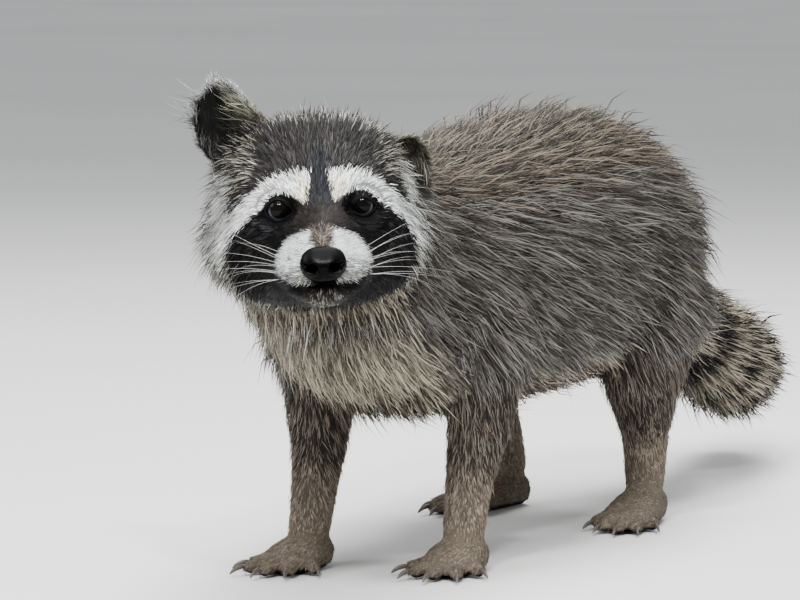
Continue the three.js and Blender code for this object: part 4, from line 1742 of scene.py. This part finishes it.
class CoatColours(bpy.types.PropertyGroup):
    """Colours that the coat's markings are mixed from."""

    root: shade("Dark root", (0.01, 0.0085, 0.008))
    grizzle: shade("Grizzled grey", (0.06, 0.051, 0.043))
    slate: shade("Slate grey", (0.0155, 0.0145, 0.015))
    steel: shade("Dark steel grey", (0.0165, 0.0185, 0.0235))
    ash: shade("Ash grey", (0.043, 0.0415, 0.04))
    silver: shade("Silver grey", (0.2, 0.195, 0.182))
    frost: shade("Frosted tip", (0.38, 0.375, 0.345))
    # The blue-green tint of these two whites is painted light: it stands in for the cool cast of the
    # light.
    white: shade("White", (0.655, 0.69, 0.665))
    bright: shade("Bright white", (0.75, 0.82, 0.81))
    pale: shade("Pale streak", (0.38, 0.37, 0.31))
    cream: shade("Cream", (0.46, 0.425, 0.33))
    yellow: shade("Yellow cream", (0.6, 0.57, 0.42))
    tan: shade("Tan", (0.19, 0.155, 0.112))
    buff: shade("Buff", (0.235, 0.193, 0.158))
    dun: shade("Dun", (0.03, 0.0245, 0.0222))
    olive: shade("Olive", (0.088, 0.088, 0.055))
    moss: shade("Moss grey", (0.0024, 0.0026, 0.002))
    umber: shade("Umber", (0.0135, 0.011, 0.0102))
    brown: shade("Dark brown", (0.0125, 0.0098, 0.0082))
    mask: shade("Mask", (0.0021, 0.0018, 0.002))
    mask_tip: shade("Mask tip", (0.036, 0.033, 0.036))
    black: shade("Black", (0.0018, 0.0016, 0.0017))


class RACCOON_OT_coat(bpy.types.Operator):
    """Grow the coat in pieces over the skin, shortest on the face, ears and paws"""

    bl_idname = "raccoon.grow_coat"
    bl_label = "Grow coat"

    def execute(self, context):
        if Pelt.ground is None:
            raise RuntimeError("make the skin before the coat")
        sizes = context.scene.raccoon_coat
        where = self.densities(Pelt.ground)
        for order, (name, count, how) in enumerate(self.pieces(sizes)):
            grow("coat_" + name, count, where[name], seed=sizes.seed + order, **how)
        return {"FINISHED"}

    @staticmethod
    def densities(ground):
        """How densely each piece of the coat grows on each triangle of the skin."""
        at = dict(zip(REGIONS, ground.face_share.T, strict=True))
        local = HEAD.local(ground.middle)
        y = local[:, 1]
        head = rise(0.3, 0.6, at["head"])
        front = rise(-14, -20, y) * rise(-47, -43, face_height(local))
        rear = rise(12, 24, y + 0.35 * np.maximum(np.abs(local[:, 0]) - 20, 0))
        ear = EarSpots(local)
        ears = rise(0.25, 0.5, at["ear"])
        inside = rise(0.0, 0.3, ear.facing(ground.facing))
        rim = np.maximum(ear.edge(), 0.7 * ear.outer_back(inside))
        trunk = rise(0.25, 0.5, at["trunk"])
        left = ground.middle @ TRUNK.turn[0] > TRUNK.origin @ TRUNK.turn[0]
        legs = rise(0.25, 0.5, at["foreleg"] + at["hindleg"])
        return {
            "muzzle": head * front,
            "mask": head * (1 - front) * (1 - rear),
            "crown": head * rear,
            "ears": ears * (1 - 0.5 * inside),
            "ear_rims": ears * rim * (0.4 + 0.6 * rise(0.04, 0.16, ear.t)),
            "ear_feathers": ears * inside * rise(0.25, 0.6, ear.across) * rise(0.9, 0.6, ear.t),
            "neck": rise(0.25, 0.5, at["neck"]),
            "left": trunk * left,
            "right": trunk * ~left,
            "legs": legs * (1 + 2.4 * rise(0.115, 0.035, ground.middle[:, 2])),
            "paws": rise(0.25, 0.5, at["paw"]),
            "tail": rise(0.2, 0.4, at["tail"]),
        }

    @staticmethod
    def pieces(sizes):
        """Each piece's name, how many tufts it has and how they grow. The order sets the seeds."""
        fine, coarse = sizes.face_width, sizes.body_width
        face = {"slot": "mask_coat", "long": True, "width": fine * 0.85, "spread": 0.24}
        pale = {"slot": "pale_coat", "long": False, "width": fine, "spread": 0.22}
        edge = pale | {"long": True, "seen_at": 0.0}
        body = {"slot": "grizzled_coat", "long": True, "width": coarse}
        flank = body | {"clump": 10, "stray": 0.12}
        short = {"long": False, "width": fine * 0.9, "spread": 0.4}
        rims = {"width": fine * 0.6, "jitter": 18, "steer": fringe}
        feathers = {"width": fine * 0.45, "jitter": 11, "steer": ear_feathers}
        return (
            ("muzzle", sizes.muzzle, face | short),
            ("mask", sizes.mask, face | {"clump": 5, "spread": 0.42}),
            ("crown", sizes.crown, face | {"jitter": 12, "curl": 0.5, "clump": 6, "stray": 0.12}),
            ("ears", sizes.ears, pale | {"width": fine * 0.8, "steer": ear_light}),
            ("ear_rims", sizes.ear_rims, edge | rims),
            ("ear_feathers", sizes.ear_feathers, edge | feathers),
            ("neck", sizes.neck, body | {"width": coarse * 0.9, "clump": 9, "stray": 0.1}),
            ("left", sizes.flank, flank),
            ("right", sizes.flank, flank),
            ("legs", sizes.legs, body | {"width": coarse * 0.7, "clump": 6, "stray": 0.04}),
            ("paws", sizes.paws, pale),
            ("tail", sizes.tail, body | {"slot": "ringed_coat", "clump": 9, "stray": 0.08}),
        )


# ---------------------------------------------------------------- the stage


# Each light: its azimuth and elevation from the eyes in degrees, its distance and size in metres
# and its power in watts.
LIGHTS = {
    "key left": (-13, 46, 2.2, 0.3, 50),
    "key right": (9, 46, 2.2, 0.24, 34),
    "top": (0, 84, 2.0, 1.6, 70),
    "fill": (66, 22, 2.6, 1.4, 14),
    "side": (-70, 32, 2.6, 1.2, 34),
    "rim": (160, 48, 2.6, 1.2, 70),
}
WORLD_COLOUR = (0.86, 0.88, 0.9, 1)
WORLD_STRENGTH = 0.75


class StageSizes(bpy.types.PropertyGroup):
    """Camera, lights and floor."""

    distance: bpy.props.FloatProperty(
        name="Camera distance", description="From the camera to the animal", default=2.4, unit="LENGTH"
    )
    elevation: bpy.props.FloatProperty(
        name="Camera elevation",
        description="Angle above level from which it looks",
        default=math.radians(5),
        subtype="ANGLE",
    )
    lens: bpy.props.FloatProperty(name="Lens", description="Focal length in millimetres", default=200)
    beside: bpy.props.FloatProperty(
        name="Aim beside",
        description="From the eyes to the aim, to the right",
        default=0.0429,
        unit="LENGTH",
    )
    below: bpy.props.FloatProperty(
        name="Aim below",
        description="From the eyes to the aim, downwards",
        default=0.0502,
        unit="LENGTH",
    )
    floor: bpy.props.FloatVectorProperty(
        name="Floor", description="Colour of the floor", default=(0.76, 0.76, 0.75), subtype="COLOR"
    )


class RACCOON_OT_stage(bpy.types.Operator):
    """Set up the floor, the studio lights and the camera"""

    bl_idname = "raccoon.set_stage"
    bl_label = "Set stage"

    def execute(self, context):
        sizes = context.scene.raccoon_stage
        bm = bmesh.new()
        bmesh.ops.create_grid(bm, x_segments=8, y_segments=8, size=60)
        material = plain_material("studio floor", tuple(sizes.floor), 3, 0.04, (0.7, 0.8), 0)
        floor = show("floor", mesh_from(bm, "floor"), material)
        eyes = Vector(HEAD.origin)
        lean = sizes.elevation
        look = Vector((0, math.cos(lean), -math.sin(lean)))
        up = Vector((0, math.sin(lean), math.cos(lean)))
        aim = eyes + Vector((sizes.beside, 0, 0)) - up * sizes.below
        self.add_camera(context, aim, look, sizes)
        for name, light in LIGHTS.items():
            self.add_light(context, name, eyes, *light)
        world = bpy.data.worlds.new("studio")
        world.use_nodes = True
        backdrop = world.node_tree.nodes["Background"]
        backdrop.inputs["Color"].default_value = WORLD_COLOUR
        backdrop.inputs["Strength"].default_value = WORLD_STRENGTH
        context.scene.world = world
        return {"FINISHED"}

    @staticmethod
    def add_camera(context, aim, look, sizes):
        """Sets the camera back from its aim."""
        data = bpy.data.cameras.new("camera")
        data.lens = sizes.lens
        data.sensor_width = 36
        data.clip_end = 300
        camera = bpy.data.objects.new("camera", data)
        camera.location = aim - look * sizes.distance
        camera.rotation_euler = look.to_track_quat("-Z", "Y").to_euler()
        context.scene.collection.objects.link(camera)
        context.scene.camera = camera

    @staticmethod
    def add_light(context, name, eyes, azimuth, elevation, distance, size, power):
        """Hangs a round lamp that points at the eyes."""
        data = bpy.data.lights.new(name, "AREA")
        data.shape = "DISK"
        data.size = size
        data.energy = power
        light = bpy.data.objects.new(name, data)
        a, e = math.radians(azimuth), math.radians(elevation)
        way = Vector((math.sin(a) * math.cos(e), -math.cos(a) * math.cos(e), math.sin(e)))
        light.location = eyes + way * distance
        light.rotation_euler = (-way).to_track_quat("-Z", "Y").to_euler()
        context.scene.collection.objects.link(light)


# ---------------------------------------------------------------- the add-on


OPERATORS = (
    RACCOON_OT_skin,
    RACCOON_OT_eyes,
    RACCOON_OT_nose,
    RACCOON_OT_claws,
    RACCOON_OT_whiskers,
    RACCOON_OT_coat,
    RACCOON_OT_stage,
)
SETTINGS = {
    "raccoon_skin": SkinSizes,
    "raccoon_eyes": EyeSizes,
    "raccoon_nose": NoseSizes,
    "raccoon_whiskers": WhiskerSizes,
    "raccoon_coat": CoatSizes,
    "raccoon_colours": CoatColours,
    "raccoon_stage": StageSizes,
}


class RACCOON_PT_panel(bpy.types.Panel):
    """Steps of the raccoon, from the skin to the stage"""

    bl_label = "Raccoon"
    bl_idname = "RACCOON_PT_panel"
    bl_space_type = "VIEW_3D"
    bl_region_type = "UI"
    bl_category = "Raccoon"

    def draw(self, context):
        for operator in OPERATORS:
            self.layout.operator(operator.bl_idname)


def register():
    """Adds the settings to the scene, and the operators and the panel to the program."""
    for name, group in SETTINGS.items():
        bpy.utils.register_class(group)
        setattr(bpy.types.Scene, name, bpy.props.PointerProperty(type=group))
    for operator in OPERATORS:
        bpy.utils.register_class(operator)
    bpy.utils.register_class(RACCOON_PT_panel)


def unregister():
    """Takes them all away again."""
    bpy.utils.unregister_class(RACCOON_PT_panel)
    for operator in reversed(OPERATORS):
        bpy.utils.unregister_class(operator)
    for name, group in reversed(SETTINGS.items()):
        delattr(bpy.types.Scene, name)
        bpy.utils.unregister_class(group)


def main():
    """Makes every piece in order."""
    register()
    bpy.ops.raccoon.make_skin()
    bpy.ops.raccoon.make_eyes()
    bpy.ops.raccoon.make_nose()
    bpy.ops.raccoon.make_claws()
    bpy.ops.raccoon.make_whiskers()
    bpy.ops.raccoon.grow_coat()
    bpy.ops.raccoon.set_stage()


if __name__ == "__main__":
    main()
